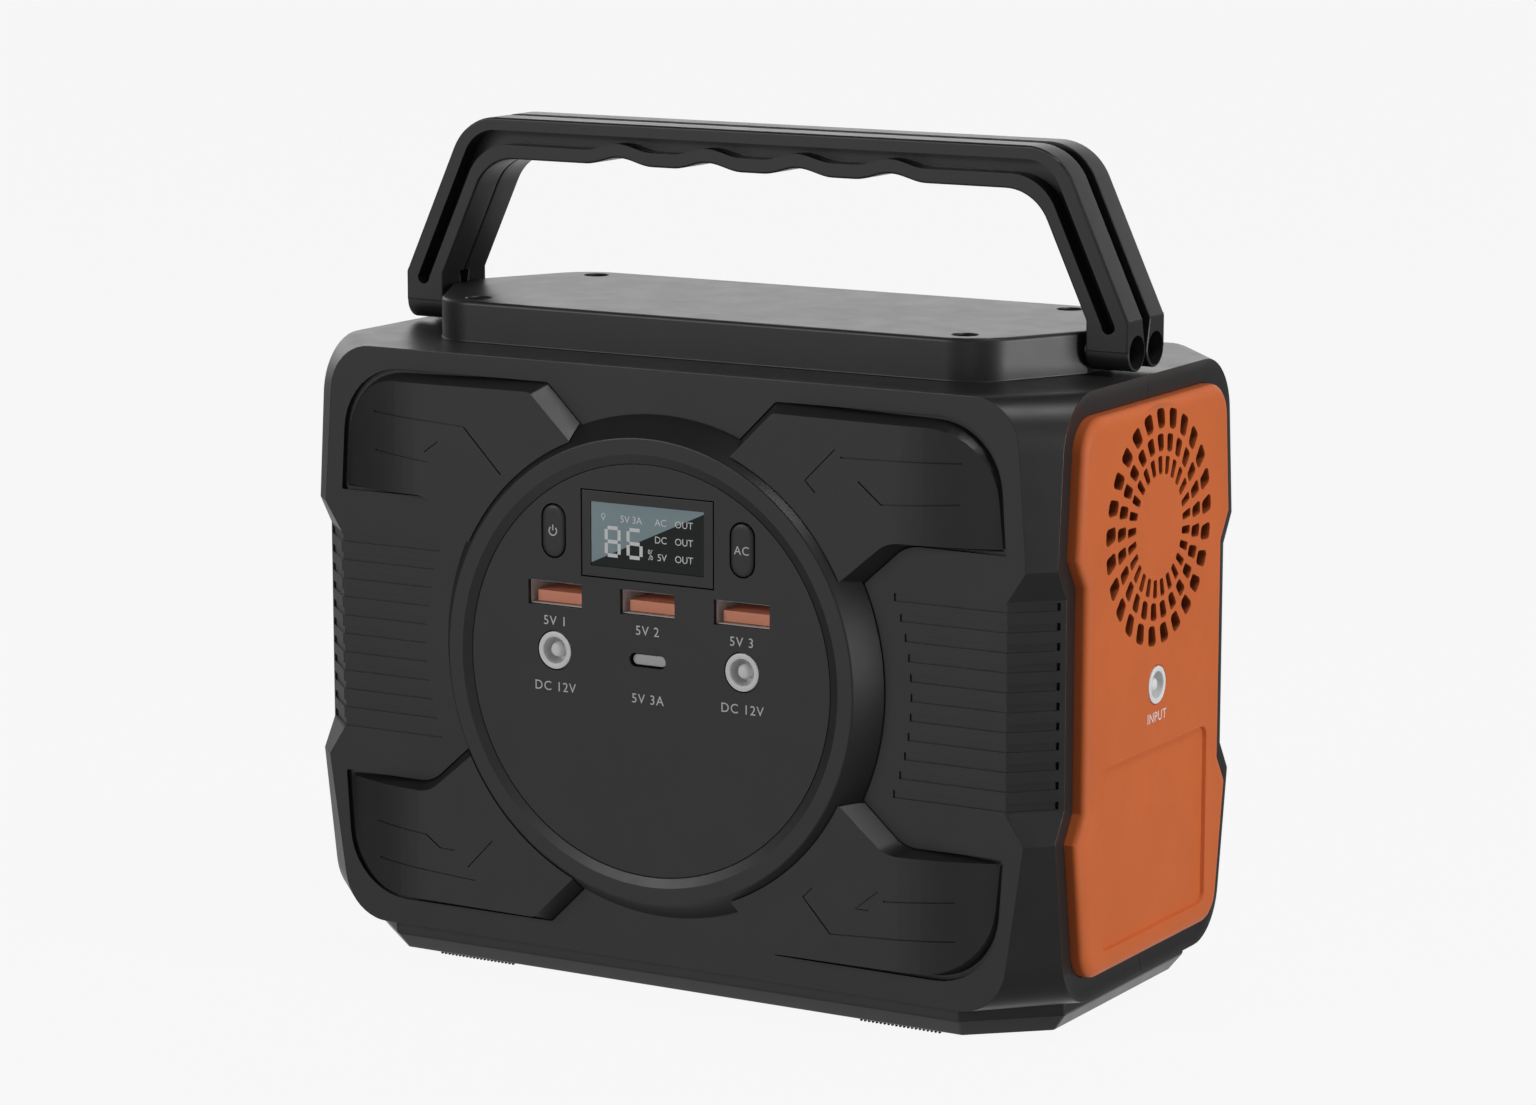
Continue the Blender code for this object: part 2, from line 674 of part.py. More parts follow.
def push_button(name, x, material):
    """A stadium key with a flange behind the panel."""
    rings = [
        (BUTTON_SIZE[0] + 1.0, BUTTON_SIZE[1] + 1.0, 48.3),
        (BUTTON_SIZE[0] + 1.0, BUTTON_SIZE[1] + 1.0, 49.3),
        (BUTTON_SIZE[0] - 2 * GAP, BUTTON_SIZE[1] - 2 * GAP, 49.3),
        (BUTTON_SIZE[0] - 2 * GAP, BUTTON_SIZE[1] - 2 * GAP, 51.9),
        (BUTTON_SIZE[0] - 2 * GAP - 0.5, BUTTON_SIZE[1] - 2 * GAP - 0.5, 52.2),
    ]
    return loft(name, [placed(stadium(w, h, (x, BUTTON_Z), 5), "Y", -y) for w, h, y in rings], material)


def tact_switch(name, x, material):
    switch = prism(name, rectangle(6.0, 6.0, (x, BUTTON_Z)), "Y", -41.0, -(BOARD_FRONT + GAP), material)
    join(switch, rod(name + "_stem", [(1.7, -47.2), (1.7, -40.0)], "Y", (x, 0.0, BUTTON_Z), 12))
    return switch


def usb_a_port(name, x, shell_material, tongue_material):
    outer = rectangle(USB_A_SIZE[0] - 2 * GAP, USB_A_SIZE[1] - 2 * GAP, (x, USB_Z))
    inner = rectangle(USB_A_SIZE[0] - 2 * GAP - 0.6, USB_A_SIZE[1] - 2 * GAP - 0.6, (x, USB_Z))
    shell = prism(name + "_shell", outer, "Y", -PANEL_Y, -(BOARD_FRONT + GAP), shell_material)
    cut(shell, prism(name + "_inside", inner, "Y", -56.0, -38.4))
    prism(name + "_tongue", rectangle(11.0, 2.2, (x, USB_Z - 0.15)), "Y", -50.4, -38.7, tongue_material)


def usb_c_port(shell_material, tongue_material):
    centre = (0.0, LOW_ROW_Z)
    width, height = USB_C_SIZE
    shell = prism("usb_c_shell", stadium(width, height, centre), "Y", -PANEL_Y, -41.0, shell_material)
    inner = stadium(width - 0.6, height - 0.6, centre)
    cut(shell, prism("usb_c_inside", inner, "Y", -56.0, -42.0))
    prism("usb_c_tongue", rectangle(6.2, 0.6, centre), "Y", -50.0, -42.3, tongue_material)


def barrel_jack(name, axis, centre, face, back, shell_material, pin_material):
    """A round socket with a pin in its middle, facing `face` along its axis."""
    inwards = 1 if back > face else -1
    rim = face - 0.15 * inwards
    shell = rod(name + "_barrel", [(DC_R, rim), (DC_R, back)], axis, centre, 20, shell_material)
    hollow = [(2.95, face - 4.0 * inwards), (2.95, back - 1.2 * inwards)]
    cut(shell, rod(name + "_hollow", hollow, axis, centre, 16))
    pin = [(0.75, face + 0.6 * inwards), (1.15, face + 1.1 * inwards), (1.15, back - 1.5 * inwards)]
    rod(name + "_pin", pin, axis, centre, 12, pin_material)


def ac_outlet(material):
    width, height = OUTLET_SIZE
    insert = rounded(rectangle(width - 2 * GAP, height - 2 * GAP, (0.0, OUTLET_Z)), 3.8, 4)
    neck = rounded(rectangle(width - 3.0, height - 3.0, (0.0, OUTLET_Z)), 2.6, 4)
    stages = ((insert, -PANEL_X), (insert, -91.7), (neck, -91.7), (neck, -74.0))
    rings = [placed(outline, "X", x) for outline, x in stages]
    outlet = loft("ac_outlet", rings, material)
    slots = [rectangle(1.9, 6.6, (-6.4, OUTLET_Z + 3.0)), rectangle(1.9, 6.6, (6.4, OUTLET_Z + 3.0))]
    slots.append(circle(2.4, (0.0, OUTLET_Z - 7.5), 12))
    cut(outlet, prisms("outlet_slots", slots, "X", -97.0, -78.0))
    return outlet


def fan(frame_material, rotor_material):
    low, high = FAN_X
    middle = (0.0, 0.0, GRILLE_Z)
    square = rounded(rectangle(2 * FAN_HALF, 2 * FAN_HALF, (0.0, GRILLE_Z)), 3.0, 2)
    frame = prism("fan_frame", square, "X", low, high, frame_material)
    cut(frame, rod("fan_bore", [(FAN_BORE, low - 2.0), (FAN_BORE, high + 2.0)], "X", middle, 36))
    join(frame, rod("fan_motor_seat", [(11.0, low), (11.0, low + 2.0)], "X", middle, 20))
    for k in range(4):
        spoke = rectangle(FAN_BORE + 0.8, 2.6, ((FAN_BORE + 0.8) / 2, 0.0))
        quarter = Matrix.Rotation(math.pi / 4 + math.pi / 2 * k, 4, "X")
        turn = Matrix.Translation(Vector(middle) * MM) @ quarter
        bar = prism(f"fan_spoke_{k}", spoke, "X", low, low + 2.0)
        bar.data.transform(turn)
        join(frame, bar)
    hub = [(11.0, low + 3.0), (11.0, high - 1.6), (10.0, high - 1.0)]
    rotor = rod("fan_rotor", hub, "X", (0.0, 0.0, 0.0), 24, rotor_material)
    for k in range(7):
        blade = [
            (9.5, -4.2, low + 4.0), (21.8, -6.0, low + 4.0), (22.6, -4.2, low + 4.6),
            (22.6, 4.8, high - 1.9),
            (21.6, 6.4, high - 1.4), (9.5, 4.6, high - 1.9),
        ]
        front = [(x + 0.9, y - 0.5, r) for r, y, x in blade]
        back = [(x - 0.6, y + 0.5, r) for r, y, x in blade]
        made = loft(f"fan_blade_{k}", [front, back])
        made.data.transform(Matrix.Rotation(2 * math.pi * k / 7, 4, "X"))
        join(rotor, made)
    for obj in [rotor] + [m.object for m in rotor.modifiers]:
        obj.location = Vector(middle) * MM


def battery_pack(material, cradle_material):
    """Twelve round cells in a shrink wrap, two rows of six, lying in a cradle."""
    pitch, radius = 18.8, 9.4
    columns = [pitch * (i - 2.5) for i in range(6)]
    low, high = 24.6, 24.6 + pitch
    steps = [math.pi * k / 6 for k in range(1, 6)]
    bottom = [(x - radius * math.cos(a), low - radius * math.sin(a)) for x in columns for a in steps]
    top = [(x + radius * math.cos(a), high + radius * math.sin(a)) for x in reversed(columns) for a in steps]
    outline = bottom + [(columns[-1] + radius, low), (columns[-1] + radius, high)]
    outline += top + [(columns[0] - radius, high), (columns[0] - radius, low)]
    prism("battery_pack", outline, "Y", -30.0, 35.0, material)
    cradle = prism("battery_cradle", rectangle(120.0, 73.0, (0.0, 2.5)), "Z", 11.3, 26.0, cradle_material)
    cut(cradle, prism("cradle_hollow", rectangle(115.0, 66.0, (0.0, 2.5)), "Z", 13.4, 30.0))


def boards(green, core, metal):
    prism("control_board", rectangle(74.0, 50.0, (0.0, 88.0)), "Y", -BOARD_FRONT, -35.6, green)
    prism("bms_board", rectangle(80.0, 40.0, (0.0, 4.0)), "Z", 54.6, 56.2, green)
    prism("inverter_board", rectangle(112.0, 62.0, (-6.0, 8.0)), "Z", 64.0, 65.6, green)
    prism("transformer", rounded(rectangle(34.0, 30.0, (-38.0, 8.0)), 2.0, 2), "Z", 65.9, 91.0, core)
    sink = prism("heat_sink", rectangle(48.0, 44.0, (20.0, 8.0)), "Z", 65.9, 93.0, metal)
    fins = [rectangle(3.8, 50.0, (0.4 + 6.5 * i, 8.0)) for i in range(7)]
    cut(sink, prisms("sink_gaps", fins, "Z", 70.0, 100.0))


def build():
    clear_scene()
    charcoal = finish("charcoal_plastic", (0.038, 0.038, 0.039), 0.55)
    panel_black = finish("panel_plastic", (0.036, 0.036, 0.037), 0.5)
    orange = finish("orange_plastic", (0.55, 0.13, 0.045), 0.5)
    steel = finish("steel", (0.62, 0.62, 0.64), 0.35, 1.0)
    nickel = finish("nickel", (0.78, 0.77, 0.76), 0.3, 0.9)
    tongue = finish("tongue_plastic", (0.62, 0.2, 0.1), 0.5)
    white = finish("white_plastic", (0.78, 0.78, 0.78), 0.45)
    glass = finish("display_glass", (0.3, 0.36, 0.38), 0.12)
    rubber = finish("rubber", (0.02, 0.02, 0.02), 0.85)
    green = finish("circuit_board", (0.02, 0.16, 0.07), 0.5)
    wrap = finish("cell_wrap", (0.05, 0.16, 0.4), 0.4)
    grey = finish("grey_plastic", (0.2, 0.2, 0.21), 0.5)
    aluminium = finish("aluminium", (0.7, 0.7, 0.72), 0.35, 1.0)

    casing_half("front_shell", -1, charcoal)
    casing_half("rear_shell", 1, charcoal)
    base_plinth(charcoal)
    top_plate(charcoal)
    disc = (0.0, 0.0, DISC_Z)
    turned("control_bezel", bezel_profile(-1), "Y", disc, DISC_STEPS, charcoal)
    turned("rear_bezel", bezel_profile(1), "Y", disc, DISC_STEPS, charcoal)
    rear_disc = circle(STEP_INNER_R - GAP, (0.0, DISC_Z), DISC_STEPS)
    prism("rear_cover", rear_disc, "Y", PANEL_BACK, PANEL_Y, panel_black)
    control_panel(panel_black)
    display(panel_black, glass, grey)

    for tag, x in (("power", -BUTTON_X), ("ac", BUTTON_X)):
        push_button(tag + "_button", x, panel_black)
        tact_switch(tag + "_switch", x, grey)
    for tag, x in zip(("left", "middle", "right"), USB_A_X):
        usb_a_port("usb_a_" + tag, x, nickel, tongue)
    usb_c_port(nickel, grey)
    for tag, x in (("left", -DC_X), ("right", DC_X)):
        place = (x, 0.0, LOW_ROW_Z)
        barrel_jack("dc_jack_" + tag, "Y", place, -PANEL_Y, -(BOARD_FRONT + GAP), white, nickel)
    barrel_jack("input_jack", "X", (0.0, 0.0, INLET_Z), PANEL_X, 80.0, white, nickel)

    side_panel("right_side_panel", 1, orange)
    side_panel("left_side_panel", -1, orange)
    ac_outlet(panel_black)
    for tag, side in (("front", -1), ("rear", 1)):
        handle_half("handle_" + tag, side, charcoal)
        for way, right in (("left", -1), ("right", 1)):
            pivot_pin(f"pivot_pin_{tag}_{way}", right, side, steel)
            plate_screw(f"plate_screw_{tag}_{way}", right * PLATE_SCREW[0], side * PLATE_SCREW[1], steel)
            foot(f"foot_{tag}_{way}", right * FEET[0], side * FEET[1], rubber)
    for level, up in (("lower", -1), ("upper", 1)):
        for way, right in (("left", -1), ("right", 1)):
            place = (right * CASE_SCREW[0], DISC_Z + up * CASE_SCREW[1])
            case_screw(f"case_screw_{level}_{way}", *place, steel)
    fan(grey, grey)
    battery_pack(wrap, grey)
    boards(green, grey, aluminium)


build()
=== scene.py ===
"""Looks of a portable power station: casing, side panels, control face and folding handle.

Lengths are in millimetres and become metres where a mesh is made. The front faces -Y, +Z is up.
"""

import math

import bmesh
import bpy
from mathutils import Matrix, Vector


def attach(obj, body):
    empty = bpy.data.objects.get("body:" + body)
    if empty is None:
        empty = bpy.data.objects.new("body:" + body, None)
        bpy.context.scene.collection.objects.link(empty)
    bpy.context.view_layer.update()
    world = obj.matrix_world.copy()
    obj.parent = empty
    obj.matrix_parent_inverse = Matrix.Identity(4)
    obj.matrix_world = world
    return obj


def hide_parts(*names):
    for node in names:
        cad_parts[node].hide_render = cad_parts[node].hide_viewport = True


MM = 0.001
QUARTERS = ((-1, -1), (-1, 1), (1, -1), (1, 1))

# Casing
HALF_DEPTH = 46.4
HALF_WIDTH = 91.4
BODY_BOTTOM = 8.2
BODY_TOP = 136.9
SHELL_THICK = 4.6
SEAM = 0.06  # each half stops this far from the middle
DISC_Z = 73.2  # height of the disc, and of the waist's middle
WAIST_INNER = 22.1  # half height of the waist's flat part
WAIST_OUTER = 28.4  # half height of the waist with its slopes
ARC_REACH = 13.0  # the casing's end arcs lie within this of its top and bottom
CASE_SCREW = (66.0, 50.0)

# (value at the waist, value above and below it, lean and end radius upwards, and downwards)
FRONT_EDGE = (82.43, 86.57, 0.075, 10.5, 0.145, 11.0)
SIDE_EDGE = (37.61, 41.62, 0.08, 13.0, 0.15, 12.0)

# Disc, pads and ribs
RIM_Y = 52.64
PANEL_Y = 51.9
RIM_R = 50.0
CONE_R = 54.6
STEP_R = (46.5, 44.3)  # the step's top and foot
NECK_R = (42.6, 51.5)  # the bezel's ring behind the face, inside and outside
OPENING_R = 51.8
PAD_Y = 51.0
PAD_BEND_X = 57.6  # the pads' faces fall back beyond this
PAD_BEND = 0.0098
PAD_FOOT = 45.3
PAD_GROWN = 1.02  # how far a pad's foot has grown towards its pocket's edge
SLAT_COUNT = 11
SLAT_PITCH = 4.14
SLAT_HEIGHT = 1.7
SLAT_DEPTH = 0.38

# Controls
USB_A_X = (-23.1, 0.0, 23.1)
USB_Z = 87.8
LOW_ROW_Z = 75.6
DC_X = 23.2
DC_R = 4.1
BUTTON_X = 23.3
BUTTON_Z = 101.5
KEY_SIZE = (6.2, 11.9)
KEY_FACE = 52.2
DISPLAY_Z = 101.8
SCREEN_Y = -51.72
DIGIT_SIZE = (3.2, 5.9, 0.78)  # width, height and stroke

# Side panels
PANEL_X = 94.0
GRILLE_Z = 104.8
GRILLE_R = 26.4
# (radius, slot width, slot length, twist) for each ring
GRILLE_RINGS = ((23.0, 4.1, 4.3, 0.16), (17.9, 3.2, 3.8, 0.12), (13.1, 2.1, 3.9, 0.06))
GRILLE_SLOTS = 25
RECESS = (50.4, 39.4, 38.1)  # width, height and middle
INLET_Z = 71.1
OUTLET_Z = 98.0

# Top plate and handle
PLATE_TOP = 145.9
PLATE_FRONT = 30.5
PLATE_SIDE = 79.8
PLATE_CORNER = (66.8, 6.0)  # x where the front edge ends, y where the side edge ends
PLATE_SCREW = (60.4, 24.0)
PIVOT_Y = 4.4
PIVOT_Z = 141.9
BOSS_R = 4.1
BORE_R = 2.5
LEG_INNER = 80.45
LEG_OUTER = 90.34
LEG_BEND_Z = 148.4
LEG_LEAN = 0.46  # how far the legs lean in for each mm upwards
HANDLE_TOP = 184.1
GRIP_UNDER = 174.95
BEND_R = (12.4, 10.8)  # the handle's outer and inner corners
HANDLE_FACE = 8.7
LEG_BACK = 1.8
SCALLOP_X = (-33.9, -11.3, 11.3, 33.9)
SCALLOP_HALF = 8.6
SCALLOP_RISE = 1.6

# Feet
FEET = (53.5, 28.0)
FOOT_HALF = 10.0
FOOT_TOP = 1.28
TOOTH_PITCH = 0.94
TOOTH_HEIGHT = 0.8

# Where cutters end, clear of the object
PAST_SIDE = 97.0
PAST_FACE = 60.0
BEFORE_FACE = -56.0
THROUGH_FACE = ("Y", BEFORE_FACE, -46.0)

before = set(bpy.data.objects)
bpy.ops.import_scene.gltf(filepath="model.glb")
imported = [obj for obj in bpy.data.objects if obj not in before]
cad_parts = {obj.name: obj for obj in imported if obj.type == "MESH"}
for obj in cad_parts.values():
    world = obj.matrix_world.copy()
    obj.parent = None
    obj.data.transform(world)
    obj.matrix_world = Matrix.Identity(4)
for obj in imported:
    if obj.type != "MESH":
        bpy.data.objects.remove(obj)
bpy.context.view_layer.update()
scene = bpy.context.scene


# ---- outlines

def circle(radius, centre=(0.0, 0.0), steps=48, start=0.0):
    turn = 2 * math.pi / steps
    angles = [start + turn * i for i in range(steps)]
    return [(centre[0] + radius * math.cos(a), centre[1] + radius * math.sin(a)) for a in angles]


def rectangle(width, height, centre=(0.0, 0.0)):
    x, y = width / 2, height / 2
    corners = ((-1, -1), (1, -1), (1, 1), (-1, 1))
    return [(centre[0] + a * x, centre[1] + b * y) for a, b in corners]


def rounded(corners, radii, steps=6):
    """The polygon with each corner turned into an arc of its radius."""
    points = []
    count = len(corners)
    for i, corner in enumerate(corners):
        here = Vector(corner)
        before = Vector(corners[i - 1]) - here
        after = Vector(corners[(i + 1) % count]) - here
        radius = radii[i] if isinstance(radii, (list, tuple)) else radii
        if radius <= 0 or before.angle(after) > math.pi - 0.01:
            points.append(tuple(here))
            continue
        half = before.angle(after) / 2
        reach = radius / math.tan(half)
        start = here + before.normalized() * reach
        end = here + after.normalized() * reach
        bisector = (before.normalized() + after.normalized()).normalized()
        centre = here + bisector * (radius / math.sin(half))
        first, last = start - centre, end - centre
        turn = math.atan2(first.x * last.y - first.y * last.x, first.dot(last))
        for k in range(steps + 1):
            cos, sin = math.cos(turn * k / steps), math.sin(turn * k / steps)
            x = centre.x + first.x * cos - first.y * sin
            points.append((x, centre.y + first.x * sin + first.y * cos))
    return points


def stadium(width, height, centre=(0.0, 0.0), steps=12):
    return rounded(rectangle(width, height, centre), min(width, height) / 2 - 0.001, steps)


def four_ways(quarter):
    """The whole outline from one quarter of it, which runs from the front edge to the side."""
    right = [(x, -y) for x, y in quarter] + [(x, y) for x, y in reversed(quarter)]
    return right + [(-x, -y) for x, y in right]


def beside(line, half):
    """The two points beside each point of a line, half its width away."""
    pairs = []
    for i, point in enumerate(line):
        before = (point - line[i - 1]).normalized() if i else Vector((0, 0))
        after = (line[i + 1] - point).normalized() if i + 1 < len(line) else Vector((0, 0))
        along = (before + after).normalized()
        across = Vector((-along.y, along.x)) * half
        pairs.append((point + across, point - across))
    return pairs


def inset(points, distance):
    """The closed outline moved inwards; it runs anticlockwise."""
    moved = []
    count = len(points)
    for i, point in enumerate(points):
        here = Vector(point)
        before = (here - Vector(points[i - 1])).normalized()
        after = (Vector(points[(i + 1) % count]) - here).normalized()
        normal = Vector((-before.y - after.y, before.x + after.x)).normalized()
        share = max(normal.dot(Vector((-before.y, before.x))), 0.5)
        moved.append(tuple(here + normal * (distance / share)))
    return moved


def placed(outline, axis, along):
    """The flat outline in space: (y, z) for axis X, (x, z) for axis Y, (x, y) for axis Z."""
    if axis == "X":
        return [(along, a, b) for a, b in outline]
    if axis == "Y":
        return [(a, along, b) for a, b in outline]
    return [(a, b, along) for a, b in outline]


# ---- meshes

def off_plane(face):
    middle = face.calc_center_median()
    return max(abs((corner.co - middle).dot(face.normal)) for corner in face.verts)


def add_rings(made, rings, closed=False):
    """A skin over rings of equal length, capped at both ends or closed on itself."""
    rows = [[made.verts.new(Vector(point) * MM) for point in ring] for ring in rings]
    for low, high in zip(rows, rows[1:] + rows[:1] * closed):
        for i in range(len(low)):
            j = (i + 1) % len(low)
            made.faces.new((low[i], low[j], high[j], high[i]))
    if not closed:
        made.faces.new(rows[0])
        made.faces.new(rows[-1])


def solid(name, made):
    bmesh.ops.recalc_face_normals(made, faces=made.faces)
    bmesh.ops.triangulate(made, faces=[face for face in made.faces if off_plane(face) > 1e-7])
    mesh = bpy.data.meshes.new(name)
    made.to_mesh(mesh)
    made.free()
    obj = bpy.data.objects.new(name, mesh)
    scene.collection.objects.link(obj)
    return obj


def loft(name, rings):
    made = bmesh.new()
    add_rings(made, rings)
    return solid(name, made)


def prism(name, outline, axis, low, high):
    return loft(name, [placed(outline, axis, low), placed(outline, axis, high)])


def prisms(name, outlines, axis, low, high):
    made = bmesh.new()
    for outline in outlines:
        add_rings(made, [placed(outline, axis, low), placed(outline, axis, high)])
    return solid(name, made)


def stepped(name, outline, axis, stages, sign=1):
    """(along, inset) stages of one outline, joined into a solid."""
    return loft(name, [placed(inset(outline, move), axis, sign * along) for along, move in stages])


def soft_prism(name, outline, axis, back, front, edge, steps=3, back_edge=0.0):
    """A prism whose front rim is rolled over by edge, and its back rim by back_edge."""
    towards = 1 if front > back else -1
    rings = []
    if back_edge:
        for k in range(steps):
            angle = math.pi / 2 * (1 - k / steps)
            along = back + towards * back_edge * (1 - math.sin(angle))
            rings.append(placed(inset(outline, back_edge * (1 - math.cos(angle))), axis, along))
    rings.append(placed(outline, axis, back + towards * back_edge))
    for k in range(steps + 1):
        angle = math.pi / 2 * k / steps
        along = front - towards * edge * (1 - math.sin(angle))
        rings.append(placed(inset(outline, edge * (1 - math.cos(angle))), axis, along))
    return loft(name, rings)


def turned(name, profile, axis, centre, steps=64, closed=True):
    """(radius, along) points turned about an axis: a closed profile, or rings with end caps."""
    made = bmesh.new()
    rings = []
    for radius, along in profile:
        ring = placed(circle(radius, (0.0, 0.0), steps), axis, along)
        rings.append([tuple(Vector(point) + Vector(centre)) for point in ring])
    add_rings(made, rings, closed)
    return solid(name, made)


def rod(name, stages, axis, centre, steps=32):
    return turned(name, stages, axis, centre, steps, closed=False)


def settle(obj):
    """Turns the object's modifiers into its mesh."""
    bpy.context.view_layer.update()
    graph = bpy.context.evaluated_depsgraph_get()
    mesh = bpy.data.meshes.new_from_object(obj.evaluated_get(graph))
    obj.modifiers.clear()
    old = obj.data
    obj.data = mesh
    bpy.data.meshes.remove(old)
    return obj


def combine(obj, others, operation):
    """Applies a boolean with each of the others in turn, and removes them."""
    for other in others:
        modifier = obj.modifiers.new(other.name, "BOOLEAN")
        modifier.operation = operation
        modifier.solver = "EXACT"
        modifier.object = other
    settle(obj)
    for other in others:
        bpy.data.objects.remove(other, do_unlink=True)
    return obj


def cut(obj, *others):
    return combine(obj, others, "DIFFERENCE")


def join(obj, *others):
    return combine(obj, others, "UNION")


def bevel(obj, width, segments, angle):
    modifier = obj.modifiers.new("edges", "BEVEL")
    modifier.width = width * MM
    modifier.segments = segments
    modifier.limit_method = "ANGLE"
    modifier.angle_limit = math.radians(angle)
    modifier.use_clamp_overlap = True
    return settle(obj)


def piece(obj, material, body="casing", slot="", replaces=(), smooth=30.0):
    """Finishes a visible piece. It works out a slot name, the material's name without the number
    that Blender adds when a material of the same name already exists, unless one is given, but
    nothing uses it."""
    slot = slot or material.name.split(".")[0]
    obj.data.materials.clear()
    obj.data.materials.append(material)
    obj.data.shade_smooth()
    obj.data.set_sharp_from_angle(angle=math.radians(smooth))
    normals = obj.modifiers.new("normals", "WEIGHTED_NORMAL")
    normals.keep_sharp = True
    settle(obj)
    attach(obj, body)
    if replaces:
        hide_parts(*replaces)
    return obj


# ---- materials

def tree_of(name):
    made = bpy.data.materials.new(name)
    made.use_nodes = True
    return made, made.node_tree, made.node_tree.nodes["Principled BSDF"]


def feed(tree, node, inputs):
    """Gives each input a value, or a link if it is another node's output."""
    for name, value in inputs.items():
        if isinstance(value, bpy.types.NodeSocket):
            tree.links.new(value, node.inputs[name])
        else:
            node.inputs[name].default_value = value
    return node


def add_node(tree, kind, inputs, **settings):
    made = tree.nodes.new("ShaderNode" + kind)
    for name, value in settings.items():
        setattr(made, name, value)
    return feed(tree, made, inputs)


def coordinates(tree, output="Object"):
    return add_node(tree, "TexCoord", {}).outputs[output]


def split(tree, vector):
    return add_node(tree, "SeparateXYZ", {"Vector": vector}).outputs


def noise(tree, scale, detail=3.0, rough=0.55, stretch=(1.0, 1.0, 1.0)):
    """A noise field in metres of the object, from 0 to 1."""
    shape = add_node(tree, "Mapping", {"Vector": coordinates(tree), "Scale": stretch})
    grain = {"Scale": scale, "Detail": detail, "Roughness": rough}
    return add_node(tree, "TexNoise", {"Vector": shape.outputs["Vector"], **grain}).outputs["Fac"]


def spread(tree, value, low=0.0, high=1.0, start=0.3, end=0.7):
    """Maps start..end, by default a noise field's middle range, onto low..high."""
    reach = {"From Min": start, "From Max": end, "To Min": low, "To Max": high}
    return add_node(tree, "MapRange", {"Value": value, **reach}).outputs["Result"]


def arithmetic(tree, operation, one, other):
    return add_node(tree, "Math", {0: one, 1: other}, operation=operation).outputs["Value"]


def tint(tree, factor, dark, light):
    """A colour between two; the light one may be another node's output."""
    bright = light if isinstance(light, bpy.types.NodeSocket) else (*light, 1.0)
    mix = {"Factor": factor, "A": (*dark, 1.0), "B": bright}
    return add_node(tree, "Mix", mix, data_type="RGBA").outputs["Result"]


def bump(tree, shader, height, strength, distance):
    shape = {"Height": height, "Strength": strength, "Distance": distance * MM}
    feed(tree, shader, {"Normal": add_node(tree, "Bump", shape).outputs["Normal"]})


def moulded(
    name, colour, roughness=0.5, vary=0.08, grain=2200.0, depth=0.012, strength=0.35, specular=0.5
):
    """Moulded plastic: spark-eroded grain, faint flow variation in tone and uneven sheen."""
    made, tree, shader = tree_of(name)
    flow = spread(tree, noise(tree, 45.0, 4.0, 0.6))
    dark = tuple(c * (1 - vary) for c in colour)
    light = tuple(min(c * (1 + vary), 1.0) for c in colour)
    feed(tree, shader, {
        "Base Color": tint(tree, flow, dark, light),
        "Roughness": spread(tree, noise(tree, 160.0), roughness - 0.02, roughness + 0.02),
        "Specular IOR Level": specular,
    })
    bump(tree, shader, noise(tree, grain, 2.0, 0.5), strength, depth)
    return made


def shaded_below(made):
    """Paints shade into a side panel below its face: darker inside the vent slots, standing in for
    their shadow, and nowhere else.
    """
    tree = made.node_tree
    shader = tree.nodes["Principled BSDF"]
    where = coordinates(tree)
    middle = (PANEL_X * MM, 0.0, GRILLE_Z * MM)
    reach = add_node(tree, "VectorMath", {0: where, 1: middle}, operation="DISTANCE")
    least = spread(tree, reach.outputs["Value"], 0.5, 1.0, 25.7 * MM, 26.3 * MM)
    low, high = (PANEL_X - 0.8) * MM, (PANEL_X - 0.05) * MM
    depth = spread(tree, split(tree, where)["X"], least, 1.0, low, high)
    plain = shader.inputs["Base Color"].links[0].from_socket
    # painted shade: the plain orange is scaled down inside the vent slots
    shade = add_node(tree, "VectorMath", {0: plain, "Scale": depth}, operation="SCALE")
    feed(tree, shader, {"Base Color": shade.outputs["Vector"]})
    return made


def metal(name, colour, roughness=0.3, metallic=1.0):
    """Plated or drawn metal with fine streaks."""
    made, tree, shader = tree_of(name)
    streak = noise(tree, 700.0, 4.0, 0.6, (1.0, 1.0, 12.0))
    dark = tuple(c * 0.88 for c in colour)
    feed(tree, shader, {
        "Base Color": tint(tree, spread(tree, streak), dark, colour),
        "Roughness": spread(tree, streak, roughness - 0.07, roughness + 0.08),
        "Metallic": metallic,
    })
    bump(tree, shader, streak, 0.15, 0.01)
    return made


def screen_glass():
    """A display under a clear gloss, with a painted reflection split from corner to corner: pale
    above, the screen's near black below.
    """
    made, tree, shader = tree_of("display_glass")
    parts = split(tree, coordinates(tree))
    # painted reflection: pale above a diagonal line across the screen, near black below it
    fall = arithmetic(tree, "MULTIPLY", parts["X"], -6.3 / 13.9)
    height = arithmetic(tree, "ADD", parts["Z"], fall)
    over = spread(tree, height, 0.0, 1.0, DISPLAY_Z * MM, (DISPLAY_Z + 0.12) * MM)
    reflection_variation = spread(tree, noise(tree, 60.0))
    pale = tint(tree, reflection_variation, (0.27, 0.36, 0.385), (0.31, 0.40, 0.425))
    feed(tree, shader, {
        "Base Color": tint(tree, over, (0.013, 0.017, 0.017), pale),
        "Roughness": 0.35,
        "Specular IOR Level": 0.2,
    })
    bump(tree, shader, noise(tree, 900.0), 0.03, 0.01)
    return made


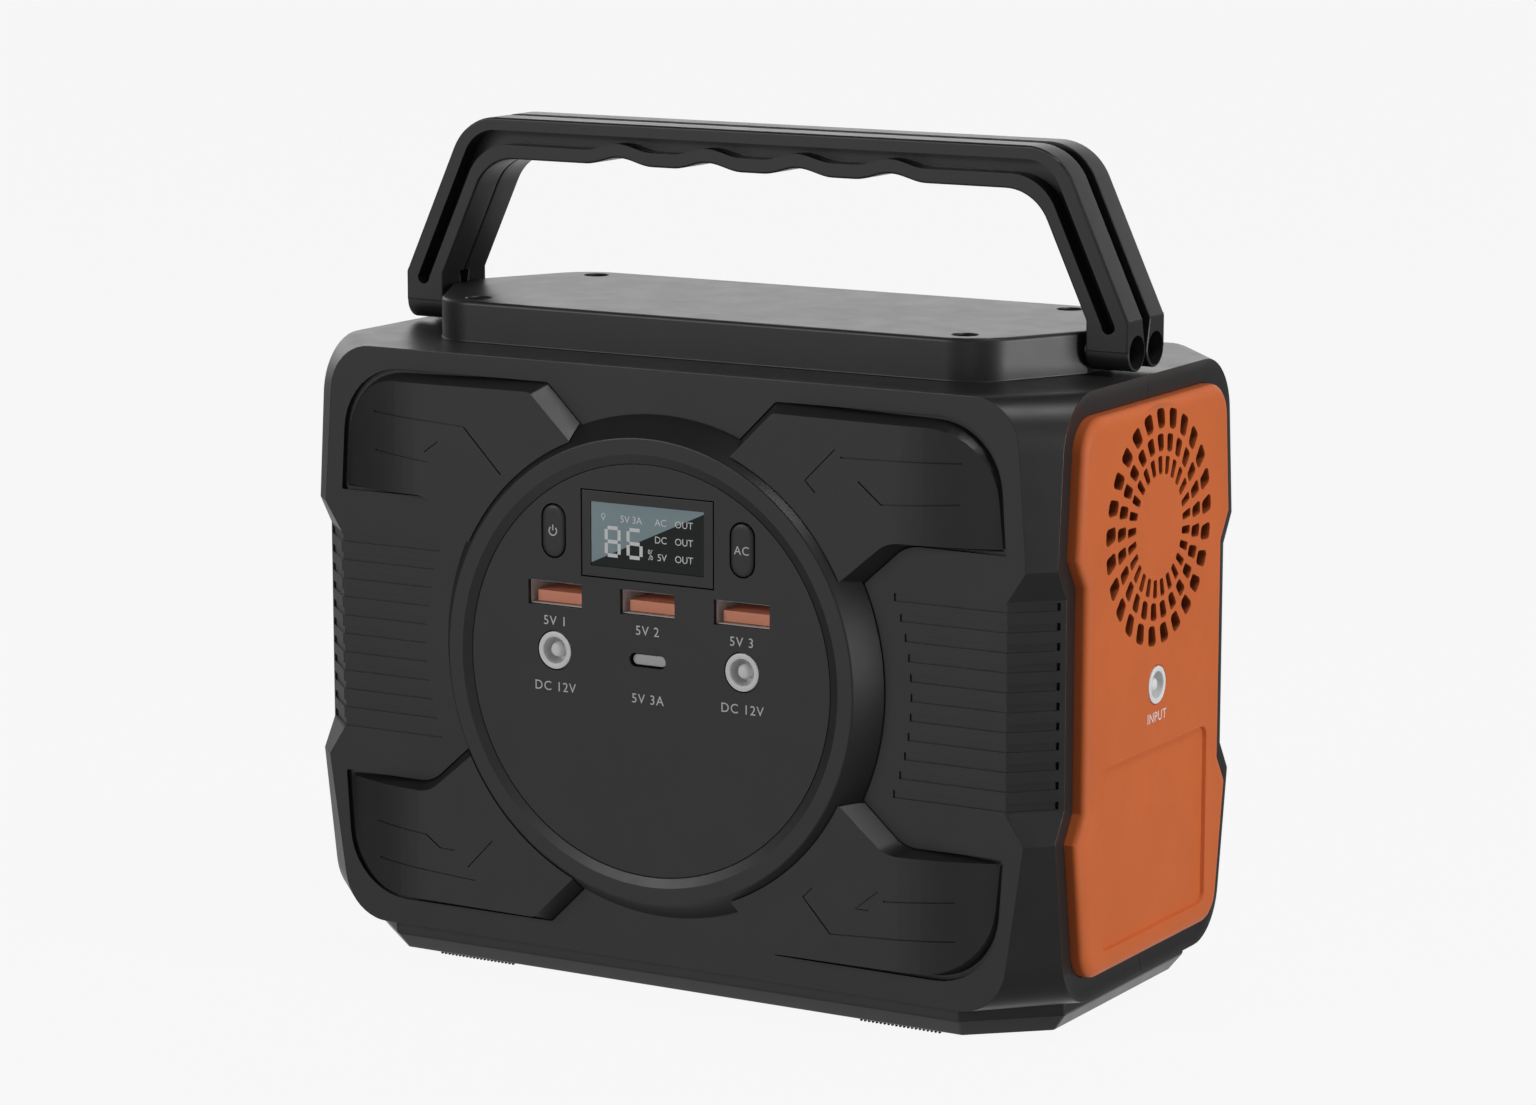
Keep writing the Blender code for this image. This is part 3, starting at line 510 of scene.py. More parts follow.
def circuit_board():
    """Green lacquer over copper tracks."""
    made, tree, shader = tree_of("circuit_board")
    grid = {"Vector": coordinates(tree), "Scale": 260.0}
    cells = add_node(tree, "TexVoronoi", grid, distance="MANHATTAN", feature="DISTANCE_TO_EDGE")
    tracks = spread(tree, cells.outputs["Distance"], 0.0, 1.0, 0.05, 0.09)
    green = tint(tree, tracks, (0.10, 0.32, 0.12), (0.015, 0.13, 0.06))
    feed(tree, shader, {"Base Color": green, "Roughness": 0.35})
    bump(tree, shader, tracks, 0.2, 0.03)
    return made


DARK = (0.019, 0.019, 0.0195)
WARM = (0.68, 0.155, 0.042)
CHARCOAL = moulded("charcoal_plastic", DARK, 0.4)
PANEL = moulded("panel_plastic", DARK, 0.42, 0.05, 3200.0, 0.006, 0.25)
ORANGE = moulded("orange_plastic", WARM, 0.5, 0.05, specular=0.22)
# the side panel's orange, with painted shade darkening the insides of its vent slots
GRILLE_ORANGE = shaded_below(moulded("grille_plastic_painted_shade", WARM, 0.5, 0.05, specular=0.22))
WHITE = moulded("white_plastic", (0.86, 0.86, 0.86), 0.4, 0.04, 3000.0, 0.006, 0.2)
GREY = moulded("grey_plastic", (0.55, 0.55, 0.56), 0.5, 0.08)
INK = moulded("marking_ink", (0.66, 0.66, 0.66), 0.55, 0.05, 4000.0, 0.004, 0.2)
LIT = moulded("display_segments", (0.80, 0.82, 0.82), 0.45, 0.03, 4000.0, 0.003, 0.1)
TONGUE = moulded("tongue_plastic", (0.84, 0.31, 0.18), 0.42, 0.06, 3000.0, 0.005, 0.2)
RUBBER = moulded("rubber", (0.028, 0.028, 0.028), 0.8, 0.12, 1500.0, 0.03, 0.5, 0.3)
WRAP = moulded("cell_wrap", (0.05, 0.16, 0.4), 0.3, 0.1, 900.0, 0.01, 0.2)
STEEL = metal("black_steel", (0.09, 0.09, 0.095), 0.42)
NICKEL = metal("nickel", (0.9, 0.9, 0.9), 0.45, 0.1)
ALUMINIUM = metal("aluminium", (0.7, 0.7, 0.72), 0.35)
GLASS = screen_glass()
BOARD = circuit_board()


# ---- casing

def edge_at(z, edge):
    """Where the casing's edge runs at height z: waist, slope, leaning flank and end arc."""
    waist, flank, lean_up, radius_up, lean_down, radius_down = edge
    away = abs(z - DISC_Z)
    if away <= WAIST_INNER:
        return waist
    if away <= WAIST_OUTER:
        return waist + (flank - waist) * (away - WAIST_INNER) / (WAIST_OUTER - WAIST_INNER)
    upwards = z > DISC_Z
    lean = lean_up if upwards else lean_down
    radius = radius_up if upwards else radius_down
    end = BODY_TOP if upwards else BODY_BOTTOM
    to_end = abs(end - z)
    at_end = flank - lean * (abs(end - DISC_Z) - WAIST_OUTER)
    slope = math.hypot(1, lean)
    centre = at_end + lean * radius - radius * slope
    if to_end < radius - radius * lean / slope:
        return centre + math.sqrt(max(radius * radius - (radius - to_end) ** 2, 0.0))
    return at_end + lean * to_end


def casing_levels(steps=12):
    arc = [ARC_REACH * (1 - math.cos(math.pi / 2 * k / steps)) for k in range(steps + 1)]
    low = [BODY_BOTTOM + rise for rise in arc]
    waist = [DISC_Z + away for away in (-WAIST_OUTER, -WAIST_INNER, WAIST_INNER, WAIST_OUTER)]
    return low + waist + [BODY_TOP - rise for rise in reversed(arc)]


def side_outline():
    front = [(-edge_at(z, SIDE_EDGE), z) for z in casing_levels()]
    return front[::-1] + [(-y, z) for y, z in front]


def casing_rings(thinner, side, past_middle, steps=12):
    rings = []
    low, high = BODY_BOTTOM + thinner, BODY_TOP - thinner
    for z in casing_levels(steps):
        front = edge_at(z, FRONT_EDGE) - thinner
        flank = edge_at(z, SIDE_EDGE) - thinner
        height = low + (z - BODY_BOTTOM) * (high - low) / (BODY_TOP - BODY_BOTTOM)
        wide, deep = HALF_WIDTH - thinner, HALF_DEPTH - thinner
        quarter = [(front, deep), (wide, flank), (wide, past_middle)]
        ring = [(-x, y) for x, y in reversed(quarter)] + quarter
        rings.append([(x, side * y, height) for x, y in ring])
    return rings


def pad_outline(grow, outer=None):
    """A corner pad seen from the front: grow 0 is its face and 1 its pocket.

    The two corners nearest the casing's corner may grow by another amount.
    """
    rim = grow if outer is None else outer
    corners = [
        (14.2 - 2.0 * grow, 115.0 + 2.0 * grow),
        (30.0 - 2.1 * grow, 130.3 + 2.15 * grow),
        (78.7 + 1.65 * rim, 129.9 + 2.55 * rim),
        (80.6 + 1.5 * rim, 106.2 - 1.5 * rim),
        (56.8 + 2.5 * grow, 106.3 - 1.55 * grow),
        (35.6 + 4.65 * grow, 88.6 - 0.9 * grow),
    ]
    return rounded(corners, [0, 1.4, 15.0, 0.5, 8.0, 0], 10)


def face_of(x):
    """Depth of a pad's face at x: flat, then falling back as far as the pad's foot."""
    past = max(abs(x) - PAD_BEND_X, 0.0)
    return max(PAD_Y - PAD_BEND * past * past, PAD_FOOT + 0.3)


def corner_pad(name, side, right, up):
    """A raised corner pad with a sloping flank and a rolled rim, draped over its face's bend."""
    made = bmesh.new()
    face = pad_outline(0.0)
    foot = pad_outline(PAD_GROWN, 0.5)[::-1]
    stages = [(foot, PAD_FOOT - 0.6), (foot, PAD_FOOT), (pad_outline(0.06)[::-1], 50.6)]
    for move, y in ((0.03, 50.82), (0.13, 50.95), (0.3, PAD_Y)):
        stages.append((inset(face, move)[::-1], y))
    add_rings(made, [placed(outline, "Y", y) for outline, y in stages])
    for k in range(11):
        x = (PAD_BEND_X + 2.5 * k) * MM
        everything = list(made.verts) + list(made.edges) + list(made.faces)
        bmesh.ops.bisect_plane(made, geom=everything, plane_co=(x, 0, 0), plane_no=(1, 0, 0))
    for vert in made.verts:
        x, y = vert.co.x / MM, vert.co.y / MM
        if y > PAD_FOOT:
            y = PAD_FOOT + (y - PAD_FOOT) * (face_of(x) - PAD_FOOT) / (PAD_Y - PAD_FOOT)
        z = DISC_Z + up * (vert.co.z / MM - DISC_Z)
        vert.co = Vector((right * x, side * y, z)) * MM
    return solid(name, made)


def pad_pocket(name, side, right, up):
    """The shallow pocket in the frame that a corner pad rises from."""
    outline = [(right * x, DISC_Z + up * (z - DISC_Z)) for x, z in pad_outline(0.93, 1.0)]
    return prism(name, outline, "Y", side * PAD_FOOT, side * PAST_FACE)


ENGRAVINGS = (
    ((-71.3, 121.8), (-46.8, 120.5), (-37.3, 110.8)),
    ((-71.0, 113.4), (-55.8, 112.0)),
    ((-56.9, 114.2), (-53.4, 116.7)),
    ((44.8, 122.9), (37.7, 115.9), (40.1, 113.5)),
    ((46.0, 121.3), (73.0, 121.9)),
    ((50.2, 116.7), (55.6, 112.3), (72.6, 113.4)),
    ((-71.6, 30.4), (-57.8, 29.4), (-54.1, 26.8), (-50.4, 26.7)),
    ((-71.5, 22.2), (-45.0, 20.6)),
    ((-46.8, 23.4), (-40.4, 30.0)),
    ((39.6, 29.9), (37.4, 27.7), (43.9, 20.6), (72.4, 22.2)),
    ((55.3, 31.1), (49.9, 26.8), (53.0, 26.8)),
    ((56.5, 29.2), (72.2, 30.5)),
)
ENGRAVED_RISE = 1.4  # the lines' heights are counted from here
ENGRAVED_HALF = 0.15
ENGRAVED_DEPTH = 0.4


def engraving_cutter(name, side):
    """Thin grooves that follow the pads' faces."""
    made = bmesh.new()
    for line in ENGRAVINGS:
        points = [Vector((x, z + ENGRAVED_RISE)) for x, z in line]
        fine = [points[0]]
        for a, b in zip(points, points[1:]):
            count = max(1, round((b - a).length / 3.0))
            fine += [a.lerp(b, (k + 1) / count) for k in range(count)]
        rings = []
        for point, (a, b) in zip(fine, beside(fine, ENGRAVED_HALF)):
            out, deep = side * 54, side * (face_of(point.x) - ENGRAVED_DEPTH)
            rings.append([(a.x, out, a.y), (b.x, out, b.y), (b.x, deep, b.y), (a.x, deep, a.y)])
        add_rings(made, rings)
    return solid(name, made)


def corner_band():
    """The waist's corner band from above: its start, its direction and the way into the casing."""
    waist, flank = FRONT_EDGE[0], SIDE_EDGE[0]
    along = Vector((HALF_WIDTH - waist, flank - HALF_DEPTH)).normalized()
    return Vector((waist, HALF_DEPTH)), along, Vector((along.y, -along.x))


def slat_outline(z, side, right):
    """One rib groove seen from above: along the frame, round the corner band and out."""
    inner = 60.2 - 0.0093 * (z - DISC_Z) ** 2
    waist, floor = FRONT_EDGE[0], HALF_DEPTH - SLAT_DEPTH
    start, along, into = corner_band()
    end = start + along * 11.2
    points = [(inner, 48.9), (inner, floor), (waist - SLAT_DEPTH * 0.42, floor)]
    points += [tuple(end + into * SLAT_DEPTH), tuple(end - into * 2.0), (waist + 1.0, 48.9)]
    return [(right * x, side * y) for x, y in points]


def slot_outline(side, right):
    """The deeper mouth at a groove's outer end."""
    start, along, into = corner_band()
    first, last = start + along * 10.7, start + along * 11.3
    corners = [first - into * 2, first + into * 1.3, last + into * 1.3, last - into * 2]
    return [(right * p.x, side * p.y) for p in corners]


def slat_cutters(name, side):
    """The cutters for all rib grooves, and those for their mouths."""
    grooves, slots = bmesh.new(), bmesh.new()
    for i in range(SLAT_COUNT):
        z = DISC_Z + SLAT_PITCH * (i - (SLAT_COUNT - 1) / 2)
        for right in (-1, 1):
            low, high = z - SLAT_HEIGHT / 2, z + SLAT_HEIGHT / 2
            groove, slot = slat_outline(z, side, right), slot_outline(side, right)
            add_rings(grooves, [placed(groove, "Z", h) for h in (low, high)])
            add_rings(slots, [placed(slot, "Z", h) for h in (low + 0.15, high - 0.05)])
    return solid(name + "_grooves", grooves), solid(name + "_slots", slots)


def seat_cutter(name, right):
    """The dished seat round a side panel."""
    stages = ((95.0, -0.05), (91.42, -0.05), (91.25, 0.3), (91.0, 1.2))
    stages += ((90.75, 2.6), (90.65, 5.1), (88.2, 5.15))
    return stepped(name, side_outline(), "X", stages, right)


def casing_half(name, side):
    """One casing shell: rolled edges, pads, ribs, engraved lines, dished seats and its openings."""
    shell = bevel(loft(name, casing_rings(0.0, side, SEAM)), 0.32, 2, 20.0)
    cut(shell, *[pad_pocket(f"{name}_pocket{i}", side, *way) for i, way in enumerate(QUARTERS)])
    join(shell, *[corner_pad(f"{name}_pad{i}", side, *way) for i, way in enumerate(QUARTERS)])
    disc = (0.0, 0.0, DISC_Z)
    ledge = side * (HALF_DEPTH + 0.05)
    opening = [(OPENING_R, side * 30.0), (OPENING_R, ledge), (CONE_R + 0.1, ledge)]
    opening += [(RIM_R + 0.3, side * RIM_Y), (RIM_R + 0.3, side * PAST_FACE)]
    cut(shell, rod(name + "_opening", opening, "Y", disc, 144))
    cut(shell, *slat_cutters(name, side))
    cut(shell, engraving_cutter(name + "_engraving", side))
    cut(shell, seat_cutter(name + "_seat_right", 1), seat_cutter(name + "_seat_left", -1))
    cut(shell, loft(name + "_hollow", casing_rings(SHELL_THICK, side, -5.0, 4)))
    for tag, radius, z, steps in (("_air", 26.0, GRILLE_Z, 48), ("_inlet", 5.2, INLET_Z, 24)):
        stages = [(radius, 80.0), (radius, 96.0)]
        cut(shell, rod(name + tag, stages, "X", (0.0, 0.0, z), steps))
    outlet = rounded(rectangle(38.0, 29.0, (0.0, OUTLET_Z)), 3.0, 4)
    cut(shell, prism(name + "_outlet", outlet, "X", -96.0, -80.0))
    if side > 0:
        x, z = CASE_SCREW
        holes = [circle(3.2, (a * x, DISC_Z + b * z), 32, 0.05) for a, b in QUARTERS]
        cut(shell, prisms(name + "_heads", holes, "Y", 46.0, PAST_FACE))
    return shell


def bezel(name, side):
    """The raised cone round the disc, with a flat rim and a sloped step down to the panel."""
    corners = [
        (STEP_R[1], PANEL_Y - 0.35),
        (STEP_R[1] + 0.1, PANEL_Y + 0.02),
        (STEP_R[0], RIM_Y),
        (RIM_R, RIM_Y),
        (CONE_R - 0.2, HALF_DEPTH + 0.12),
        (NECK_R[1], HALF_DEPTH + 0.12),
        (NECK_R[1], 42.6),
        (NECK_R[0], 42.6),
        (NECK_R[0], 49.4),
        (STEP_R[1], 49.4),
    ]
    profile = rounded(corners, [0, 0.3, 0.5, 0.55, 0.2, 0, 0, 0, 0, 0], 5)
    return turned(name, [(r, side * y) for r, y in profile], "Y", (0.0, 0.0, DISC_Z), 180)


piece(casing_half("casing_front", -1), CHARCOAL, replaces=["front_shell"])
piece(casing_half("casing_rear", 1), CHARCOAL, replaces=["rear_shell"])
piece(bezel("bezel_front", -1), CHARCOAL, replaces=["control_bezel"])
piece(bezel("bezel_rear", 1), CHARCOAL, replaces=["rear_bezel"])


# ---- base and feet

def plinth_outline(spread_out):
    front, wide = 40.9 + spread_out, 84.6 + spread_out
    corner_x, corner_y = 69.6 + 0.4 * spread_out, 27.5 + 0.4 * spread_out
    return four_ways([(corner_x, front), (wide, corner_y)])


def base_plinth():
    stages = ((0.0, 1.3), (3.0, 5.2), (3.0, 8.3))
    plinth = loft("plinth", [placed(plinth_outline(grow), "Z", z) for grow, z in stages])
    bevel(plinth, 0.45, 3, 20.0)
    under = [placed(plinth_outline(grow), "Z", z) for grow, z in ((-6.0, 1.0), (-6.6, 1.9))]
    return cut(plinth, loft("plinth_under", under))


def ribbed_foot(name, x, y):
    """A square rubber pad with a row of fine teeth along its front and back edges."""
    half, low = FOOT_HALF, TOOTH_HEIGHT
    outline = [(x - half, low)]
    for i in range(int(2 * half / TOOTH_PITCH)):
        left = x - half + 0.2 + TOOTH_PITCH * i
        outline += [(left, low), (left + 0.3, 0.02), (left + 0.5, 0.02), (left + 0.8, low)]
    outline += [(x + half, low), (x + half, FOOT_TOP), (x - half, FOOT_TOP)]
    foot = prism(name, outline, "Y", y - half, y + half)
    gap = rectangle(30.0, 2 * low - 0.04, (x, 0.0))
    for way in (-1, 1):
        cut(foot, prism(f"{name}_gap_{way}", gap, "Y", y + way * 4.0, y + way * 9.3))
    return foot


piece(base_plinth(), CHARCOAL, replaces=["base_plinth"])
for tag, side in (("front", -1), ("rear", 1)):
    for way, right in (("left", -1), ("right", 1)):
        foot = ribbed_foot(f"rubber_foot_{tag}_{way}", right * FEET[0], side * FEET[1])
        piece(foot, RUBBER, replaces=[f"foot_{tag}_{way}"])


# ---- top plate

def plate_outline():
    x_front, y_side = PLATE_CORNER
    outline = four_ways([(x_front, PLATE_FRONT), (PLATE_SIDE, y_side)])
    return rounded(outline, [13.0, 1.5, 1.5, 13.0] * 2, 10)


def lid():
    """The top plate, with a rolled rim, a foot that flares onto the casing and sunk screw holes."""
    stages = [(BODY_TOP + rise, move) for rise, move in ((0.02, -0.2), (0.12, -0.06), (0.35, 0.0))]
    for below, move in ((0.9, 0.0), (0.5, 0.08), (0.18, 0.3), (0.0, 0.75)):
        stages.append((PLATE_TOP - below, move))
    cutters = []
    for x, y in QUARTERS:
        hole = [(1.7, 130.0), (1.7, 141.0), (2.8, 141.0), (2.8, PLATE_TOP - 0.25)]
        hole += [(3.05, PLATE_TOP + 0.05), (3.05, 150.0)]
        screw = (x * PLATE_SCREW[0], y * PLATE_SCREW[1], 0.0)
        cutters.append(rod(f"lid_hole_{x}_{y}", hole, "Z", screw))
        bore, pivot = [(BORE_R, x * 70.0), (BORE_R, x * 95.0)], (0.0, y * PIVOT_Y, PIVOT_Z)
        cutters.append(rod(f"lid_pivot_{x}_{y}", bore, "X", pivot, 24))
    return cut(stepped("lid", plate_outline(), "Z", stages), *cutters)


piece(lid(), CHARCOAL, replaces=["top_plate"])


# ---- handle

def grip_under(lift):
    """The scalloped underside of the grip, from left to right."""
    points = []
    for centre in SCALLOP_X:
        for k in range(17):
            share = -1 + k / 8
            rise = SCALLOP_RISE * (0.5 + 0.5 * math.cos(math.pi * share))
            points.append((centre + SCALLOP_HALF * share, GRIP_UNDER + lift + rise))
    return points


def handle_line(x, top, radius, foot_z):
    """Right-hand side of a handle outline, from its foot up to the grip."""
    at_top = x - (top - LEG_BEND_Z) * LEG_LEAN
    foot = [(x, foot_z)] if foot_z < LEG_BEND_Z else []
    corners = foot + [(x, LEG_BEND_Z), (at_top, top), (0.0, top)]
    return rounded(corners, [0] * len(foot) + [0, radius, 0], 12)[:-1]


def handle_loop(outer, inner, lift=0.0):
    """The whole outline from its right-hand outer and inner lines, which run up from the foot."""
    left_out = [(-x, z) for x, z in reversed(outer)]
    left_in = [(-x, z) for x, z in inner]
    return outer + left_out + left_in + grip_under(lift) + inner[::-1]


def handle_outline():
    outer = handle_line(LEG_OUTER, HANDLE_TOP, BEND_R[0], PIVOT_Z)
    return handle_loop(outer, handle_line(LEG_INNER, GRIP_UNDER, BEND_R[1], PIVOT_Z))


def web_outline():
    """The thin web that closes the handle's inner edge between its halves."""
    strip = handle_line(LEG_INNER + 3.0, GRIP_UNDER + 3.0, 12.5, LEG_BEND_Z)
    outer = [(x, z) for x, z in strip if z < 168.0] + [(70.8, 171.0), (68.0, 183.3)]
    return handle_loop(outer, handle_line(LEG_INNER, GRIP_UNDER, BEND_R[1], LEG_BEND_Z))


def pocket_outline():
    """The long pocket in a handle half, with a round end in each leg."""
    foot_z = LEG_BEND_Z - 1.0
    lines = []
    for x, top, radius in ((87.3, 181.3, 8.5), (84.1, 178.1, 11.5)):
        corners = [(x, foot_z), (x - (top - foot_z) * LEG_LEAN, top), (0.0, top)]
        lines.append(rounded(corners, [0, radius, 0], 10)[:-1])
    ends = ((87.1, 0.8), (86.5, 1.4), (85.7, 1.65), (84.9, 1.4), (84.3, 0.8))
    return handle_loop(lines[0], [(x, foot_z - below) for x, below in ends] + lines[1], 3.1)


def handle_boss(name, side, right):
    """The round boss at a leg's foot, with flanks that run up into the leg."""
    boss = [(HANDLE_FACE - 0.25, LEG_BEND_Z + 0.6), (PIVOT_Y + BOSS_R, PIVOT_Z)]
    for k in range(1, 24):
        angle = math.pi * k / 24
        boss.append((PIVOT_Y + BOSS_R * math.cos(angle), PIVOT_Z - BOSS_R * math.sin(angle)))
    boss += [(PIVOT_Y - BOSS_R, PIVOT_Z), (LEG_BACK + 0.15, LEG_BEND_Z + 0.6)]
    outline = [(side * y, z) for y, z in boss][::-side]
    back, front = right * (LEG_INNER + 0.02), right * (LEG_OUTER - 0.02)
    return soft_prism(name, outline, "X", back, front, 0.4, 3, 0.2)


def handle_half(name, side):
    face, back = side * HANDLE_FACE, side * LEG_BACK
    half = soft_prism(name, handle_outline(), "Y", back, face, 0.55, 3, 0.3)
    web = soft_prism(name + "_web", web_outline(), "Y", side * (LEG_BACK + 1.5), side * 0.2, 0.3)
    join(half, web, *[handle_boss(f"{name}_boss_{right}", side, right) for right in (-1, 1)])
    bores = []
    for right in (-1, 1):
        stages = [(BORE_R, 70.0), (BORE_R, 84.6), (3.55, 84.6), (3.55, 95.0)]
        stages = [(r, right * x) for r, x in stages]
        pivot = (0.0, side * PIVOT_Y, PIVOT_Z)
        bores.append(rod(f"{name}_bore_{right}", stages, "X", pivot, 40))
    pocket = prism(name + "_pocket", pocket_outline(), "Y", side * (HANDLE_FACE + 3.0), side * 4.2)
    return cut(half, pocket, *bores)


for tag, side in (("front", -1), ("rear", 1)):
    body = "handle_" + tag
    piece(handle_half("carry_" + body, side), CHARCOAL, body, replaces=[body])
    for way, right in (("left", -1), ("right", 1)):
        stages = [(2.4, 71.0), (2.4, 85.0), (3.0, 85.0), (3.2, 85.2)]
        stages += [(3.2, 86.6), (2.9, 87.0), (1.4, 87.0), (1.2, 86.4)]
        stages = [(r, right * x) for r, x in stages]
        pin = rod(f"hinge_pin_{tag}_{way}", stages, "X", (0.0, side * PIVOT_Y, PIVOT_Z))
        piece(pin, STEEL, slot="steel", replaces=[f"pivot_pin_{tag}_{way}"])


# ---- side panels

def cushion(name, right):
    stages = ((88.25, 5.3), (92.2, 5.3), (92.7, 5.4), (93.1, 5.65))
    stages += ((93.45, 6.1), (93.75, 6.7), (93.92, 7.3), (PANEL_X, 8.1))
    return stepped(name, side_outline(), "X", stages, right)


def grille_slot(radius, width, length, twist, angle):
    """A rounded, slightly twisted radial slot, as (y, z) points."""
    out = Vector((math.cos(angle), math.sin(angle)))
    across = Vector((-out.y, out.x))
    w, h = width / 2, length / 2
    corners = [(-0.82 * w, -h), (0.66 * w, -h), (w, h), (-0.9 * w, h)]
    lean = twist * h
    shape = rounded([(a + math.copysign(lean, b), b) for a, b in corners], 0.5 * min(w, h), 5)
    middle = Vector((0.0, GRILLE_Z)) + out * radius
    return [tuple(middle + across * a + out * b) for a, b in shape]


def fan_side():
    panel = cushion("orange_panel_right", 1)
    slots = []
    for ring in GRILLE_RINGS:
        for i in range(GRILLE_SLOTS):
            slots.append(grille_slot(*ring, 2 * math.pi * i / GRILLE_SLOTS + math.pi / 2))
    cut(panel, prisms("grille_slots", slots, "X", 87.0, PAST_SIDE))
    stages = [(GRILLE_R, 80.0), (GRILLE_R, PANEL_X - 2.2)]
    cut(panel, rod("grille_back", stages, "X", (0.0, 0.0, GRILLE_Z), 64))
    near, wide = DC_R + 0.1, DC_R + 0.4
    stages = [(near, 86.0), (near, PANEL_X - 0.3), (wide, PANEL_X + 0.05), (wide, PAST_SIDE)]
    cut(panel, rod("inlet_hole", stages, "X", (0.0, 0.0, INLET_Z), 48))
    width, height, middle = RECESS
    recess = rounded(rectangle(width, height, (0.0, middle)), 2.5, 6)
    stages = [(PANEL_X - 0.9, 0.35), (PANEL_X - 0.12, 0.0)]
    stages += [(PANEL_X + 0.02, -0.25), (PAST_SIDE, -0.25)]
    return cut(panel, stepped("recess", recess, "X", stages))


def outlet_side():
    panel = cushion("orange_panel_left", -1)
    hole = rounded(rectangle(40.0, 31.0, (0.0, OUTLET_Z)), 4.0, 8)
    vents = [stadium(34.0, 2.6, (0.0, 36.0 + 5.4 * i), 6) for i in range(7)]
    cut(panel, prism("outlet_hole", hole, "X", -PAST_SIDE, -86.0))
    return cut(panel, prisms("vent_slots", vents, "X", -PAST_SIDE, -86.0))


def outlet():
    """A mains outlet insert: rolled rim, dished middle and three contact slots."""
    face = rounded(rectangle(39.4, 30.4, (0.0, OUTLET_Z)), 3.8, 8)
    insert = soft_prism("mains_outlet", face, "X", -90.5, -PANEL_X, 0.5)
    dish = rounded(rectangle(31.0, 24.0, (0.0, OUTLET_Z)), 7.0, 8)
    stages = ((93.1, 0.6), (93.6, 0.0), (PAST_SIDE, -0.4))
    cut(insert, stepped("outlet_dish", dish, "X", stages, -1))
    slots = [rectangle(1.9, 6.6, (y, OUTLET_Z + 3.0)) for y in (-6.4, 6.4)]
    slots.append(circle(2.4, (0.0, OUTLET_Z - 7.5), 32))
    return cut(insert, prisms("outlet_slots", slots, "X", -PAST_SIDE, -91.0))


piece(fan_side(), GRILLE_ORANGE, slot="orange_plastic", replaces=["right_side_panel"])
piece(outlet_side(), ORANGE, replaces=["left_side_panel"])
piece(outlet(), PANEL, replaces=["ac_outlet"])


# ---- control face

def recessed(name, outline, back, front, edge):
    """A prism set into the face, with a finely rolled front rim."""
    return soft_prism(name, outline, "Y", back, front, edge, 2)


def face_panel():
    disc = circle(STEP_R[1] - 0.02, (0.0, DISC_Z), 180)
    panel = recessed("face_panel", disc, -49.7, -PANEL_Y, 0.08)
    openings = [rectangle(13.5, 5.3, (x, USB_Z)) for x in USB_A_X]
    openings += [stadium(*KEY_SIZE, (x, BUTTON_Z)) for x in (-BUTTON_X, BUTTON_X)]
    openings += [circle(DC_R + 0.25, (x, LOW_ROW_Z), 48) for x in (-DC_X, DC_X)]
    openings.append(rectangle(32.9, 18.9, (0.0, DISPLAY_Z)))
    openings.append(stadium(9.0, 3.0, (0.0, LOW_ROW_Z)))
    return cut(panel, prisms("face_openings", openings, *THROUGH_FACE))


def rear_face():
    """The plain rear cover, with one shallow ring groove."""
    stages = [(44.28, 49.7), (44.28, 51.75), (44.15, PANEL_Y), (38.2, PANEL_Y)]
    stages += [(38.0, 51.75), (37.6, 51.75), (37.4, PANEL_Y), (0.5, PANEL_Y)]
    return rod("rear_face", stages, "Y", (0.0, 0.0, DISC_Z), 180)


def screen_frame():
    outer, inner = (rectangle(*size, (0.0, DISPLAY_Z)) for size in ((32.35, 18.35), (28.0, 13.8)))
    border = recessed("screen_frame", outer, -49.2, -PANEL_Y, 0.12)
    return cut(border, prism("screen_hole", inner, *THROUGH_FACE))


def key(name, x):
    """A long round-ended key with a softly crowned face."""
    width, height = KEY_SIZE
    stages = ((0.5, 48.3), (0.5, 49.3), (-0.3, 49.3), (-0.3, 51.75))
    stages += ((-0.36, 51.93), (-0.52, 52.06), (-0.9, 52.14), (-1.7, KEY_FACE))
    rings = []
    for grow, y in stages:
        rings.append(placed(stadium(width + 2 * grow, height + 2 * grow, (x, BUTTON_Z)), "Y", -y))
    return loft(name, rings)


def usb_a(name, x):
    outer, inner = (rectangle(*size, (x, USB_Z)) for size in ((13.3, 5.1), (13.0, 4.8)))
    shell = recessed(name, outer, -38.0, -PANEL_Y + 0.9, 0.04)
    return cut(shell, prism(name + "_inside", inner, "Y", BEFORE_FACE, -38.4))


def ring_socket(name, axis, centre, face, back):
    """A barrel socket with a rolled lip."""
    inwards = 1 if back > face else -1
    stages = ((DC_R, 0.3), (DC_R - 0.09, 0.09), (DC_R - 0.3, 0.0))
    stages += ((3.1, 0.0), (2.95, 0.08), (2.84, 0.35))
    floor = face + 3.5 * inwards
    lip = [(r, face + (deep - 0.15) * inwards) for r, deep in stages]
    profile = [(DC_R, back)] + lip + [(2.75, floor), (0.4, floor), (0.4, back)]
    return turned(name, profile, axis, centre, 48)


def socket_pin(name, axis, centre, face, back):
    """A contact pin with a rounded tip."""
    inwards = 1 if back > face else -1
    stages = [(0.5, 0.35), (1.0, 0.43), (1.35, 0.65), (1.55, 1.0), (1.6, 1.5)]
    rings = [(r, face + y * inwards) for r, y in stages] + [(1.6, back - 1.5 * inwards)]
    return rod(name, rings, axis, centre, 24)


